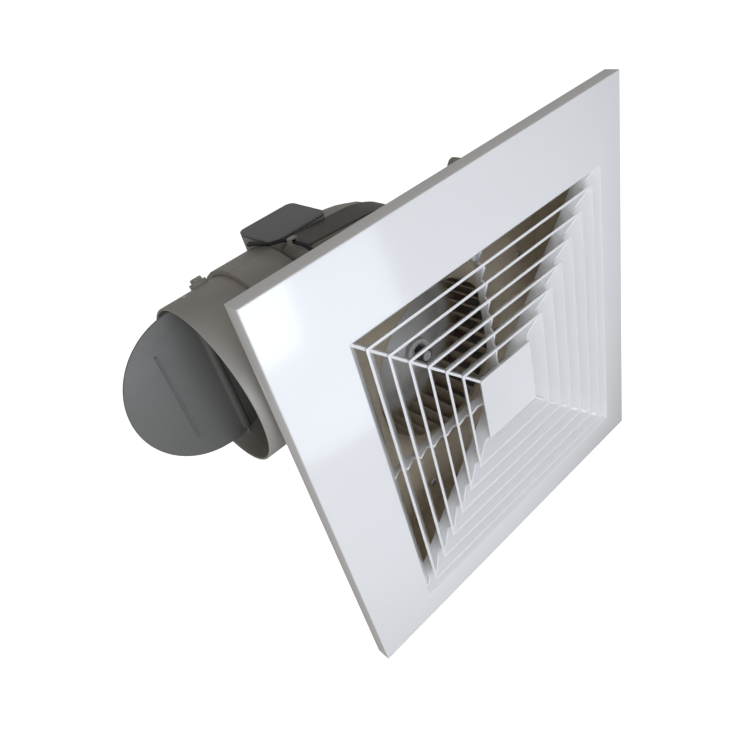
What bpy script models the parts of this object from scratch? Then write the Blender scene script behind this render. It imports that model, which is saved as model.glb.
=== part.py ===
"""Ceiling or wall mounted bathroom extractor fan: a square louvred grille over a centrifugal fan.

Units are metres. +X is to the right of somebody facing the grille, -Y points into the room and
+Z is up. The origin is the centre of the wall plane, which the rear edge of the grille touches.
The fan's axis is the Y axis.
"""

import math

import bpy
import bmesh
from mathutils import Matrix, Vector

# --- Fits and general wall sizes -------------------------------------------------------------
GAP = 0.0003                # between two touching pieces
SLIP = 0.0004               # sliding and push fits, on the radius
WALL = 0.0022               # moulded wall of the casing
OVER = 0.004                # how far a cutter runs past the wall it cuts
ROUND_STEPS = 40            # sides of the large round pieces
MOTOR_STEPS = 30            # of the motor's
SMALL_STEPS = 20            # of pins, sleeves and bearings
HOLE_STEPS = 10             # and of the screw holes

# --- Grille ----------------------------------------------------------------------------------
PANEL_HALF = 0.150          # half the side of the square panel
PANEL_WALL = 0.0024
SKIRT_DEPTH = 0.011
CREST_HALF = 0.1076         # the ridge between the sloping frame and the louvres
CREST_RISE = 0.0125         # the ridge stands this far in front of the skirt's front edge
BLADE_COUNT = 6
BLADE_PITCH = 0.012
BLADE_DEPTH = 0.015
BLADE_LEAN = 0.8            # how far a blade runs inwards for each unit of depth
BLADE_THICKNESS = 0.0020
WEB_THICKNESS = 0.0016
WEB_SETBACK = 0.0010        # the diagonal webs start this far behind the blades' front edges
WEB_STEP = 0.0003           # and every web ends a little short of the blades' rear edges
RIB_HEIGHT = 0.008
PLATE_HALF = 0.0255
PLATE_THICKNESS = 0.0025
RIM_WIDTH = 0.0011
RIM_HEIGHT = 0.0008

# --- Impeller -----------------------------------------------------------------------------------
IMPELLER_RADIUS = 0.0710
VANE_DEPTH = 0.0090         # the vanes' length across the rim of the wheel
VANE_COUNT = 36
VANE_THICKNESS = 0.0012
VANE_SWEEP_DEGREES = 38.0
VANE_INSET = 0.0007         # the vanes stop this far inside the rim
VANE_SINK = 0.4             # share of the hoop and the back plate that a vane runs into
IMPELLER_RING = 0.0022
IMPELLER_CLEARANCE = 0.0107  # wheel to the outside of the casing's back wall
HUB_CONE_STEP = 0.0120      # the cone's foot, inside the vanes
HUB_RADIUS = 0.011
HUB_REACH = 0.0311          # the hub stands this far in front of the wheel's back
HUB_LENGTH = 0.012
HUB_SKIN = 0.0018
HUB_COLLAR = 0.0045         # straight front of the hub, before the cone starts
WASHER_RADIUS = 0.0085
WASHER_THICKNESS = 0.0010
NUT_RADIUS = 0.0072
NUT_HEIGHT = 0.0045

# --- Inlet ring ---------------------------------------------------------------------------------
THROAT_STEP = 0.0015        # the throat is this much smaller than the vanes' inner circle
INLET_FLARE = 0.013
INLET_PLATE_THICKNESS = 0.0024
INLET_SKIN = 0.0019
INLET_REACH = 0.0092        # the lip stands this far behind the casing's front
INLET_TO_WHEEL = 0.0015     # running gap between the lip and the wheel
BORE_STEP = 0.0235          # the tub's bore, outside the throat
MOUTH_STEP = 0.0195         # the casing's mouth, outside the throat
SCREW_MARGIN = 0.011        # the inlet screws, outside the tub's bore
PLATE_MARGIN = 0.004        # the ring's edge, outside the screws
FLANGE_MARGIN = 0.007       # the front shell's flat edge, outside the screws

# --- Mounting frame, the shallow tub behind the grille ------------------------------------------
TUB_MARGIN = 0.011          # the tub's outside, from the edge of the inlet ring
TUB_WALL = 0.0020
TUB_DEPTH = 0.036
FLANGE_WIDTH = 0.018
FLANGE_THICKNESS = 0.0025
CORNER_HOLE = 0.0024

# --- Scroll casing -----------------------------------------------------------------------------
CASING_DEPTH = 0.068        # front wall to back wall, outside
SEAM_OFFSET = 0.0237        # the plane where the two shells meet, behind the casing's front
TONGUE_CLEARANCE = 0.017    # the outside of the scroll, from the wheel, where it starts
SCROLL_GROWTH = 0.0245      # and how much further out it is straight above the axis
OUTLET_RISE = 0.0165        # the outlet chamber's roof, above that
ROOF_ROUND = 0.035          # across the rounded end of the roof
TONGUE_DEGREES = 163.9
OUTLET_STEP = 0.006         # the flat end of the scroll, inside the tongue
SHOULDER_START = 0.004      # straight wall kept in front of the rear shoulder
SHOULDER_RUNOUT = 0.0017    # the rounded rear shoulder would end this far behind the casing
SHOULDER_INSET = 0.034      # its height, across the axis
SHOULDER_STEPS = 4
SCROLL_POINTS = 96
ROOF_ROUNDS = 12            # corrections that place a point of the roof
EAR_RADIUS = 0.005
EAR_THICKNESS = 0.003
EAR_TIP_STEPS = 6
EARS = ((60.5, 0.029), (8.0, 0.015), (-48.0, 0.015), (-100.0, 0.015), (-150.0, 0.015))

# --- Neck, spigot and damper --------------------------------------------------------------------
NECK_OFFSET = 0.0232        # the outlet's axis, behind the casing's front
NECK_DROP = 0.0504          # and below the scroll's highest point
SPIGOT_RADIUS = 0.0518
SPIGOT_WALL = 0.0016
SPIGOT_LENGTH = 0.0375      # what stands out of the neck
SPIGOT_PLUG = 0.016         # and what is inside it
NECK_WALL = 0.0030
NECK_LENGTH = 0.035         # from the flat end of the scroll to the neck's tip
NECK_CONE_LENGTH = 0.020    # the cone that narrows into the scroll
NECK_CONE_START = 0.006
NECK_END_RADIUS = 0.024
LATCH_SIZE = (0.009, 0.010, 0.005)
LATCH_ROUNDING = 0.0015
LATCH_DEGREES = 65.0
LATCH_GAP = 0.0105          # from the neck's end to the middle of the latch
DAMPER_CLEARANCE = 0.0018   # round the flap, inside the spigot
DAMPER_THICKNESS = 0.0014
DAMPER_OFFSET = 0.011       # hinge line to the middle of the flap
DAMPER_SETBACK = 0.0125     # hinge line to the spigot's tip
DAMPER_RIB_AT = 0.0190      # stiffening rib, from the middle of the flap
DAMPER_RIB_HALF = 0.030
DAMPER_RIB = 0.0012
PIN_RADIUS = 0.0013
PIN_PROUD = 0.0006          # the pin's ends, outside the spigot
HINGE_SLEEVE = 0.0030
SLEEVE_SHORT = 0.004        # from each end of the sleeve to the spigot

# --- Motor ---------------------------------------------------------------------------------------
SHAFT_RADIUS = 0.0040
SHAFT_REACH = 0.0080        # the shaft's end, in front of the hub
SHAFT_END_GAP = 0.0040      # and its other end, inside the motor's back
MOTOR_RADIUS = 0.0385
MOTOR_WALL = 0.0015
MOTOR_TO_HUB = 0.0025
MOTOR_NOSE_LENGTH = 0.0160
MOTOR_OVERHANG = 0.0297     # the motor's back, behind the casing's
MOTOR_ROUNDING = 0.0060
MOTOR_FLANGE_WIDTH = 0.0175
MOTOR_FLANGE_THICKNESS = 0.0018
STATOR_MARGIN = 0.0010      # under the motor's shell
STATOR_BORE = 0.0200
STATOR_INSET = 0.0355       # from the motor's back to the stator's front
STATOR_LENGTH = 0.0200
AIR_GAP = 0.0006
WINDING_OUTER = 0.0310
WINDING_INNER = 0.0215
WINDING_LENGTH = 0.0055
ROTOR_OVERHANG = 0.0020
BEARING_RADIUS = 0.0095
BEARING_LENGTH = 0.0050
NOSE_WALL = 0.0035
FIXING_COUNT = 3
FIXING_INSET = 0.006        # the motor's screws, inside the flange's edge
FIXING_DEGREES = 90.0
GROMMET_RADIUS = 0.0042
GROMMET_LENGTH = 0.0030

# --- Terminal box, lead and label ----------------------------------------------------------------
BOX_OVERHANG = 0.004        # the box's left side, past the flat end of the scroll
BOX_LENGTH = 0.042
BOX_TO_SEAM = 0.0006
BOX_SETBACK = 0.0062        # the box's back, in front of the casing's back
BOX_RISE = 0.0062           # the lid, above the scroll's highest point
BOX_HEIGHT = 0.026
BOX_WALL = 0.0020
BOX_CORNER = 0.005
BOX_FLOOR = 0.0215          # solid foot that follows the scroll's shoulder
TERMINAL_DEPTH = 0.0067
LID_THICKNESS = 0.0018
BLOCK_SIZE = (0.018, 0.0065, 0.0045)
LEAD_RADIUS = 0.0011
LEAD_STEPS = 3
# Hand-chosen places along the lead, from the box's upper left front corner: left, back and up.
LEAD_ROUTE = [
    (0.0003, 0.0244, -0.0048), (0.0018, 0.0242, -0.0046), (0.0031, 0.0214, -0.0038),
    (0.0038, 0.0134, -0.0012), (0.0037, 0.0044, 0.0003), (0.0018, -0.0011, 0.0007),
    (-0.0020, -0.0034, 0.0006), (-0.0054, -0.0056, 0.0003), (-0.0068, -0.0096, 0.0002),
    (-0.0068, -0.0166, 0.0002), (-0.0068, -0.0246, 0.0000), (-0.0068, -0.0336, -0.0030),
    (-0.0068, -0.0416, -0.0087),
]
# And its last places, from the tub's top wall: left of the box's left side, back and up.
LEAD_END = [(-0.0068, -0.0456, 0.0100), (-0.0068, -0.0466, 0.0046)]
CLIP_AT = 0.0126            # in front of the box
CLIP_SIZE = (0.0052, 0.0036, 0.0040)
CLIP_ROOF = 0.0009
CORD_GRIP_RADIUS = 0.0034
CORD_GRIP_HEIGHT = 0.0040
LABEL_INSET = 0.0063        # the label's left edge, from the flat end of the scroll
LABEL_LENGTH = 0.0667
LABEL_MARGIN = 0.0010       # its front edge, from the casing's front
LABEL_WIDTH = 0.0222
LABEL_THICKNESS = 0.0004
LABEL_STEPS = 12

# --- Screws --------------------------------------------------------------------------------------
SCREW_HEAD = 0.0036
SCREW_HEAD_HEIGHT = 0.0018
SCREW_SHANK = 0.0016
SCREW_POINT = 0.0012
SCREW_SLOT = 0.0009
SCREW_CROWN = 0.55          # share of the head's height that is straight
SCREW_TOP = 0.7             # share of its radius that is flat on top
SCREW_SLOT_SHARE = 0.55     # half the slot's length, as a share of the head's radius
SCREW_STEPS = 12
MOUNTING_SCREW = 0.020
MOUNTING_HEAD = 0.0040
INLET_SCREW_COUNT = 5
INLET_SCREW_DEGREES = 28.0
SCREW_END = 0.0010          # what shows of an inlet screw's end
MOTOR_SCREW_END = 0.0020    # of a motor screw's
CASING_SCREW_END = 0.0040   # and of a casing screw's

# --- Grille springs ------------------------------------------------------------------------------
SPRING_WIRE = 0.0008
SPRING_COIL = 0.0035
SPRING_LEG = 0.026
SPRING_SPREAD = 0.017
SPRING_HOOK = (0.003, 0.002)
SPRING_STEPS = 10
BOSS_SIZE = (0.006, 0.005, 0.004)
BOSS_ROOT = 0.003

# --- Worked out from the sizes above ---------------------------------------------------------------
SKIRT_FRONT_Y = -SKIRT_DEPTH
CREST_Y = SKIRT_FRONT_Y - CREST_RISE
BLADE_BACK_Y = CREST_Y + BLADE_DEPTH
FRAME_LIP_HALF = CREST_HALF - BLADE_LEAN * BLADE_DEPTH
SPRING_AT = FRAME_LIP_HALF + 3 * BLADE_THICKNESS / 4
FLANGE_FRONT_Y = -FLANGE_THICKNESS
BLADE_ROOT = IMPELLER_RADIUS - VANE_DEPTH
HUB_CONE_RADIUS = BLADE_ROOT - HUB_CONE_STEP
INLET_THROAT = BLADE_ROOT - THROAT_STEP
TUB_FLOOR_BORE = INLET_THROAT + BORE_STEP
CASING_MOUTH = INLET_THROAT + MOUTH_STEP
INLET_SCREW_RADIUS = TUB_FLOOR_BORE + SCREW_MARGIN
INLET_PLATE_RADIUS = INLET_SCREW_RADIUS + PLATE_MARGIN
FRONT_FLANGE_RADIUS = INLET_SCREW_RADIUS + FLANGE_MARGIN
TUB_HALF = INLET_PLATE_RADIUS + TUB_MARGIN
FLANGE_HALF = TUB_HALF + FLANGE_WIDTH
CORNER_HOLE_AT = TUB_HALF + FLANGE_WIDTH / 2
CASING_FRONT_Y = TUB_DEPTH + GAP
CASING_BACK_Y = CASING_FRONT_Y + CASING_DEPTH
SEAM_Y = CASING_FRONT_Y + SEAM_OFFSET
SHOULDER_SPAN = CASING_BACK_Y - SEAM_Y + SHOULDER_RUNOUT
INLET_PLATE_Y = TUB_DEPTH - TUB_WALL - GAP - INLET_PLATE_THICKNESS
INLET_LIP_Y = CASING_FRONT_Y + INLET_REACH
IMPELLER_FRONT_Y = INLET_LIP_Y + INLET_TO_WHEEL
IMPELLER_BACK_Y = CASING_BACK_Y - IMPELLER_CLEARANCE
HUB_FRONT_Y = IMPELLER_BACK_Y - HUB_REACH
HUB_CONE_Y = HUB_FRONT_Y + HUB_COLLAR
TONGUE_RADIUS = IMPELLER_RADIUS + TONGUE_CLEARANCE
SPIRAL_END = TONGUE_RADIUS + SCROLL_GROWTH
SCROLL_RADIUS = SPIRAL_END + OUTLET_RISE
OUTLET_FACE = TONGUE_RADIUS - OUTLET_STEP
NECK_Y = CASING_FRONT_Y + NECK_OFFSET
NECK_Z = SCROLL_RADIUS - NECK_DROP
NECK_TIP_X = -OUTLET_FACE - NECK_LENGTH
NECK_CONE_X = -OUTLET_FACE - NECK_CONE_START
NECK_END_X = NECK_CONE_X + NECK_CONE_LENGTH
NECK_BORE = SPIGOT_RADIUS + SLIP
NECK_RADIUS = NECK_BORE + NECK_WALL
SPIGOT_TIP_X = NECK_TIP_X - SPIGOT_LENGTH
DAMPER_RADIUS = SPIGOT_RADIUS - SPIGOT_WALL - DAMPER_CLEARANCE
HINGE_X = SPIGOT_TIP_X + DAMPER_SETBACK
HINGE_Y = NECK_Y + DAMPER_OFFSET
MOTOR_NOSE_Y = HUB_FRONT_Y + HUB_LENGTH + MOTOR_TO_HUB
MOTOR_SHOULDER_Y = MOTOR_NOSE_Y + MOTOR_NOSE_LENGTH
MOTOR_BACK_Y = CASING_BACK_Y + MOTOR_OVERHANG
MOTOR_FLANGE_Y = CASING_BACK_Y + GAP
MOTOR_FLANGE_RADIUS = MOTOR_RADIUS + MOTOR_FLANGE_WIDTH
MOTOR_HOLE = MOTOR_RADIUS + MOTOR_FLANGE_WIDTH / 4
FIXING_RADIUS = MOTOR_FLANGE_RADIUS - FIXING_INSET
SHAFT_FRONT_Y = HUB_FRONT_Y - SHAFT_REACH
SHAFT_BACK_Y = MOTOR_BACK_Y - SHAFT_END_GAP
STATOR_RADIUS = MOTOR_RADIUS - MOTOR_WALL - STATOR_MARGIN
STATOR_FRONT_Y = MOTOR_BACK_Y - STATOR_INSET
STATOR_BACK_Y = STATOR_FRONT_Y + STATOR_LENGTH
ROTOR_RADIUS = STATOR_BORE - AIR_GAP
NOSE_RADIUS = BEARING_RADIUS + NOSE_WALL
BOX_LEFT_X = -OUTLET_FACE - BOX_OVERHANG
BOX_FRONT_Y = SEAM_Y + BOX_TO_SEAM
BOX_TOP_Z = SCROLL_RADIUS + BOX_RISE
LABEL_LEFT_X = -OUTLET_FACE + LABEL_INSET
LABEL_FRONT_Y = CASING_FRONT_Y + LABEL_MARGIN

COLOURS = {
    "white_plastic": ((0.80, 0.81, 0.84), 0.22, 0.0),
    "casing_plastic": ((0.62, 0.61, 0.57), 0.45, 0.0),
    "damper_plastic": ((0.42, 0.44, 0.41), 0.50, 0.0),
    "steel": ((0.60, 0.60, 0.62), 0.35, 1.0),
    "dark_steel": ((0.16, 0.16, 0.17), 0.40, 1.0),
    "copper": ((0.72, 0.33, 0.15), 0.35, 1.0),
    "black_rubber": ((0.02, 0.02, 0.02), 0.60, 0.0),
    "label": ((0.72, 0.72, 0.70), 0.40, 0.0),
    "brass": ((0.75, 0.58, 0.25), 0.30, 1.0),
}


def clear_scene():
    """Removes what a new file holds."""
    for obj in list(bpy.data.objects):
        bpy.data.objects.remove(obj, do_unlink=True)


def collection(name):
    """A collection linked to the scene."""
    found = bpy.data.collections.new(name)
    bpy.context.scene.collection.children.link(found)
    return found


def material(name, finish):
    """A Principled material for one part, from a row of COLOURS."""
    colour, roughness, metallic = COLOURS[finish]
    made = bpy.data.materials.new(name)
    made.use_nodes = True
    shader = made.node_tree.nodes["Principled BSDF"]
    shader.inputs["Base Color"].default_value = (*colour, 1.0)
    shader.inputs["Roughness"].default_value = roughness
    shader.inputs["Metallic"].default_value = metallic
    made.diffuse_color = (*colour, 1.0)
    return made


def dress(obj, finish):
    """Files an object among the parts and gives it its material."""
    PARTS.objects.link(obj)
    obj.data.materials.clear()
    obj.data.materials.append(material(obj.name + "_finish", finish))
    return obj


def hide(obj):
    """Files an object among the cutters and keeps it out of the build."""
    CUTTERS.objects.link(obj)
    obj.hide_render = True
    obj.display_type = "WIRE"
    return obj


def from_bmesh(name, bm, smooth=True):
    """An unlinked mesh object from a bmesh, with its faces turned outwards."""
    bmesh.ops.recalc_face_normals(bm, faces=bm.faces)
    mesh = bpy.data.meshes.new(name)
    bm.to_mesh(mesh)
    bm.free()
    if smooth:
        mesh.shade_smooth()
        mesh.set_sharp_from_angle(angle=math.radians(35))
    return bpy.data.objects.new(name, mesh)


def boolean(obj, other, operation="DIFFERENCE", solver="EXACT"):
    """Adds a Boolean with another object."""
    modifier = obj.modifiers.new(f"{operation.lower()}_{other.name}", "BOOLEAN")
    modifier.operation = operation
    modifier.solver = solver
    modifier.object = other


def add_box(bm, low, high, turn=None):
    """Adds a box between two corners to a bmesh, and turns it by a matrix if one is given."""
    size = [b - a for a, b in zip(low, high)]
    middle = [(a + b) / 2 for a, b in zip(low, high)]
    matrix = Matrix.Translation(middle) @ Matrix.Diagonal((*size, 1.0))
    if turn is not None:
        matrix = turn @ matrix
    bmesh.ops.create_cube(bm, size=1.0, matrix=matrix)


def box(name, low, high, bevel=0.0, turn=None):
    """A box object between two corners, with its upright edges rounded if bevel is set."""
    bm = bmesh.new()
    add_box(bm, low, high, turn)
    obj = from_bmesh(name, bm, smooth=False)
    if bevel:
        modifier = obj.modifiers.new("rounding", "BEVEL")
        modifier.width = bevel
        modifier.segments = 3
        modifier.limit_method = "ANGLE"
    return obj


ALONG = {
    "X": Matrix.Rotation(math.radians(90), 4, "Y"),
    "Y": Matrix.Rotation(math.radians(-90), 4, "X"),
    "Z": Matrix.Identity(4),
}


def add_cylinder(bm, start, length, radius, axis="Y", sides=32, end_radius=None):
    """Adds a cylinder or cone that starts at a point and runs along +axis."""
    ends = (radius, radius if end_radius is None else end_radius)
    matrix = Matrix.Translation(start) @ ALONG[axis] @ Matrix.Translation((0, 0, length / 2))
    bmesh.ops.create_cone(bm, cap_ends=True, segments=sides, radius1=ends[0], radius2=ends[1],
                          depth=length, matrix=matrix)


def add_plate(bm, outline, thickness, matrix):
    """Adds a flat plate to a bmesh: an outline in XY, thickened along +Z, moved by a matrix."""
    sheet = bm.faces.new([bm.verts.new(matrix @ Vector((x, y, 0.0))) for x, y in outline])
    grown = bmesh.ops.extrude_face_region(bm, geom=[sheet])
    moved = [v for v in grown["geom"] if isinstance(v, bmesh.types.BMVert)]
    rise = matrix.to_3x3() @ Vector((0.0, 0.0, thickness))
    bmesh.ops.translate(bm, verts=moved, vec=rise)


def cylinder(name, start, length, radius, axis="Y", sides=32):
    """A cylinder object that starts at a point and runs along +axis."""
    bm = bmesh.new()
    add_cylinder(bm, start, length, radius, axis, sides)
    return from_bmesh(name, bm)


def outer_side_first(profile):
    """The profile in the order that turns into a surface facing outwards."""
    pairs = zip(profile, profile[1:] + profile[:1])
    area = sum(a[0] * b[1] - b[0] * a[1] for a, b in pairs)
    return profile[::-1] if area > 0 else profile


def turned(name, profile, steps=MOTOR_STEPS, place=(0.0, 0.0, 0.0), axis="Y", square=False):
    """A closed profile of (radius, distance along the axis) turned about an axis.

    Four steps and square=True make a square ring instead, whose half side is the radius.
    """
    points = outer_side_first(profile)
    across = (1.0, 1.0) if square else (1.0, 0.0)
    bm = bmesh.new()
    ring = [bm.verts.new((r * across[0], r * across[1], along)) for r, along in points]
    closed = all(r > 0 for r, _ in points)
    for first, second in zip(ring, ring[1:] + ring[:1]):
        on_axis = first.co.xy.length == 0 and second.co.xy.length == 0
        if closed or not on_axis:
            bm.edges.new((first, second))
    mesh = bpy.data.meshes.new(name)
    bm.to_mesh(mesh)
    bm.free()
    obj = bpy.data.objects.new(name, mesh)
    obj.matrix_world = Matrix.Translation(place) @ ALONG[axis]
    screw = obj.modifiers.new("turning", "SCREW")
    screw.axis = "Z"
    screw.steps = steps
    screw.render_steps = steps
    screw.use_merge_vertices = True
    screw.merge_threshold = 1e-6
    screw.use_smooth_shade = not square
    return obj


def tube(name, start_x, end_x, outer, inner, steps=ROUND_STEPS):
    """A round tube about the outlet's axis, between two places along X."""
    profile = [(inner, start_x), (outer, start_x), (outer, end_x), (inner, end_x)]
    return turned(name, profile, steps, place=(0.0, NECK_Y, NECK_Z), axis="X")


def wire(name, points, radius, finish, cyclic=False):
    """A round wire or lead through a list of points."""
    curve = bpy.data.curves.new(name, "CURVE")
    curve.dimensions = "3D"
    curve.bevel_depth = radius
    curve.bevel_resolution = 2
    curve.use_fill_caps = True
    spline = curve.splines.new("POLY")
    spline.points.add(len(points) - 1)
    for point, place in zip(spline.points, points):
        point.co = (*place, 1.0)
    spline.use_cyclic_u = cyclic
    return dress(bpy.data.objects.new(name, curve), finish)


def smooth_route(knots, per_span):
    """Points on a Catmull-Rom curve through a list of knots."""
    vectors = [Vector(k) for k in knots]
    padded = [2 * vectors[0] - vectors[1], *vectors, 2 * vectors[-1] - vectors[-2]]
    route = []
    for a, b, c, d in zip(padded, padded[1:], padded[2:], padded[3:]):
        for step in range(per_span):
            t = step / per_span
            route.append(0.5 * (2 * b + (c - a) * t + (2 * a - 5 * b + 4 * c - d) * t ** 2
                                + (3 * b - a - 3 * c + d) * t ** 3))
    return [*route, vectors[-1]]


def polar(radius, degrees, y):
    """A point at a radius and an angle about the fan's axis."""
    angle = math.radians(degrees)
    return Vector((radius * math.cos(angle), y, radius * math.sin(angle)))


# --- Grille --------------------------------------------------------------------------------------

def frame_profile():
    """Section of the panel's frame: skirt, sloping face, ridge and the first leaning blade."""
    slope = (CREST_Y - SKIRT_FRONT_Y) / (CREST_HALF - PANEL_HALF)
    lip_end = FRAME_LIP_HALF
    under_half = CREST_HALF + BLADE_THICKNESS
    under_crest = SKIRT_FRONT_Y + PANEL_WALL + slope * (under_half - PANEL_HALF)
    inner_half = PANEL_HALF - PANEL_WALL
    under_skirt = SKIRT_FRONT_Y + PANEL_WALL + slope * (inner_half - PANEL_HALF)
    return [
        (PANEL_HALF, 0.0), (PANEL_HALF, SKIRT_FRONT_Y), (CREST_HALF, CREST_Y),
        (lip_end, BLADE_BACK_Y), (lip_end + BLADE_THICKNESS, BLADE_BACK_Y),
        (under_half - BLADE_LEAN * (under_crest - CREST_Y), under_crest),
        (inner_half, under_skirt), (inner_half, 0.0),
    ]


def add_web(bm, degrees, stretch, front, back):
    """Adds a thin wall from the centre plate's skirt to the frame's leaning lip.

    stretch is 1 for a wall across the blades and the square root of 2 for one along a diagonal.
    """
    def skirt(y):
        return (PLATE_HALF - BLADE_LEAN * (y - CREST_Y) - BLADE_THICKNESS / 2) * stretch

    def lip(y):
        return (FRAME_LIP_HALF + BLADE_LEAN * (BLADE_BACK_Y - y) + BLADE_THICKNESS / 2) * stretch

    outline = [(skirt(front), front), (lip(front), front), (lip(back), back), (skirt(back), back)]
    turn = Matrix.Rotation(math.radians(degrees), 4, "Y")
    add_plate(bm, outline, WEB_THICKNESS, turn @ Matrix.Translation((0, 0, -WEB_THICKNESS / 2)))


def plate_profile():
    """Section of the centre plate: its face, its thin raised rim and its leaning skirt."""
    face = CREST_Y + RIM_HEIGHT
    under = face + PLATE_THICKNESS
    inner = PLATE_HALF - BLADE_THICKNESS
    return [
        (0.0, face), (PLATE_HALF - RIM_WIDTH, face), (PLATE_HALF - RIM_WIDTH, CREST_Y),
        (PLATE_HALF, CREST_Y), (PLATE_HALF - BLADE_LEAN * BLADE_DEPTH, BLADE_BACK_Y),
        (inner - BLADE_LEAN * BLADE_DEPTH, BLADE_BACK_Y),
        (inner - BLADE_LEAN * (under - CREST_Y), under), (0.0, under),
    ]


def louvre_members():
    """The blades, the centre plate, the ribs and the webs as overlapping solids."""
    pieces = [turned("plate_blank", plate_profile(), steps=4, square=True)]
    for ring in range(BLADE_COUNT):
        front = CREST_HALF + BLADE_THICKNESS - (ring + 1) * BLADE_PITCH
        back = front - BLADE_LEAN * BLADE_DEPTH
        section = [(front, CREST_Y), (front + BLADE_THICKNESS, CREST_Y),
                   (back + BLADE_THICKNESS, BLADE_BACK_Y), (back, BLADE_BACK_Y)]
        pieces.append(turned(f"blade_ring_{ring + 1}", section, steps=4, square=True))
    ribs = bmesh.new()
    webs = bmesh.new()
    for quarter in range(4):
        add_web(ribs, 90 * quarter, 1.0, BLADE_BACK_Y - RIB_HEIGHT, BLADE_BACK_Y - WEB_STEP)
        add_web(webs, 90 * quarter + 45, math.sqrt(2), CREST_Y + WEB_SETBACK,
                BLADE_BACK_Y - 2 * WEB_STEP)
    pieces.append(from_bmesh("rib_blanks", ribs, smooth=False))
    pieces.append(from_bmesh("web_blanks", webs, smooth=False))
    return pieces


def build_grille():
    """The square front grille, one moulding."""
    grille = dress(turned("grille_panel", frame_profile(), steps=4, square=True), "white_plastic")
    for piece in louvre_members():
        boolean(grille, hide(piece), "UNION")
    bm = bmesh.new()
    for side in (-1, 1):
        width, depth, height = BOSS_SIZE
        low = (-width / 2, BLADE_BACK_Y - BOSS_ROOT, side * SPRING_AT - height / 2)
        add_box(bm, low, (width / 2, BLADE_BACK_Y + depth, side * SPRING_AT + height / 2))
    bosses = from_bmesh("spring_bosses", bm, smooth=False)
    boolean(grille, hide(bosses), "UNION")
    return grille


def build_springs():
    """Two wire springs that pull the grille up against the wall."""
    boss_back = BLADE_BACK_Y + BOSS_SIZE[1]
    for name, side in (("grille_spring_upper", 1), ("grille_spring_lower", -1)):
        z = side * SPRING_AT
        y = boss_back + GAP + SPRING_COIL + SPRING_WIRE
        hook_out, hook_down = SPRING_HOOK
        knots = [(-SPRING_SPREAD - hook_out, y + SPRING_LEG - hook_down, z),
                 (-SPRING_SPREAD, y + SPRING_LEG, z),
                 (-SPRING_COIL, y, z)]
        for step in range(1, SPRING_STEPS):
            angle = math.pi + math.pi * step / SPRING_STEPS
            knots.append((SPRING_COIL * math.cos(angle), y + SPRING_COIL * math.sin(angle), z))
        knots += [(SPRING_COIL, y, z), (SPRING_SPREAD, y + SPRING_LEG, z),
                  (SPRING_SPREAD + hook_out, y + SPRING_LEG - hook_down, z)]
        wire(name, knots, SPRING_WIRE, "steel")


# --- Casing --------------------------------------------------------------------------------------

def roof_height(x):
    """Height of the outlet chamber's roof: a rounded end, a flat part and a rise to the neck."""
    share = max(0.0, 1.0 + min(0.0, x) / ROOF_ROUND)
    rounded = OUTLET_RISE * (1.0 - math.sqrt(1.0 - share * share))
    rise = (NECK_Z + NECK_RADIUS - SCROLL_RADIUS) * min(1.0, -x / OUTLET_FACE)
    return SCROLL_RADIUS - rounded + rise


def scroll_radius(degrees):
    """Outside radius of the scroll: a spiral, then the outlet chamber's roof and flat end."""
    turned_by = (degrees - TONGUE_DEGREES) % 360.0
    spiral_span = 450.0 - TONGUE_DEGREES
    if turned_by <= spiral_span:
        growth = math.log(SPIRAL_END / TONGUE_RADIUS) / spiral_span
        return TONGUE_RADIUS * math.exp(growth * turned_by)
    angle = math.radians(degrees)
    x = 0.0
    for _ in range(ROOF_ROUNDS):
        x = roof_height(x) * math.cos(angle) / math.sin(angle)
    return min(roof_height(x) / math.sin(angle), OUTLET_FACE / -math.cos(angle))


def shoulder(y):
    """How far the rear shoulder has drawn in at a depth."""
    share = max(0.0, min(1.0, (y - SEAM_Y) / SHOULDER_SPAN))
    return SHOULDER_INSET * (1.0 - math.sqrt(1.0 - share * share))


def scroll_solid(name, grow, front, back):
    """The scroll as a stack of outlines that follow its rounded rear shoulder."""
    rear = back - SEAM_Y
    depths = [front, SEAM_Y - SHOULDER_START]
    depths += [SEAM_Y + rear * (step + 1) / SHOULDER_STEPS for step in range(SHOULDER_STEPS)]
    bm = bmesh.new()
    rings = []
    for y in depths:
        ring = []
        for point in range(SCROLL_POINTS):
            degrees = TONGUE_DEGREES + 360.0 * point / SCROLL_POINTS
            ring.append(bm.verts.new(polar(scroll_radius(degrees) + grow - shoulder(y), degrees, y)))
        rings.append(ring)
    for near, far in zip(rings, rings[1:]):
        for i in range(SCROLL_POINTS):
            j = (i + 1) % SCROLL_POINTS
            bm.faces.new((near[i], near[j], far[j], far[i]))
    bm.faces.new(rings[0][::-1])
    bm.faces.new(rings[-1])
    return from_bmesh(name, bm)


def neck_solid(name, grow, tip_x):
    """The round neck and the cone that joins it to the scroll."""
    radius = NECK_RADIUS + grow
    end = NECK_END_X + grow
    bore_end = NECK_END_RADIUS + grow
    profile = [(0.0, tip_x), (radius, tip_x), (radius, NECK_CONE_X), (bore_end, end), (0.0, end)]
    return turned(name, profile, steps=ROUND_STEPS, place=(0.0, NECK_Y, NECK_Z), axis="X")


def half_space(name, front):
    """A block that covers everything in front of the seam, or everything behind it."""
    reach = 0.2
    edge = SEAM_Y - GAP / 2 if front else SEAM_Y + GAP / 2
    if front:
        return hide(box(name, (-reach, edge, -reach), (reach, edge + reach, reach)))
    return hide(box(name, (-reach, edge - reach, -reach), (reach, edge, reach)))


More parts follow.
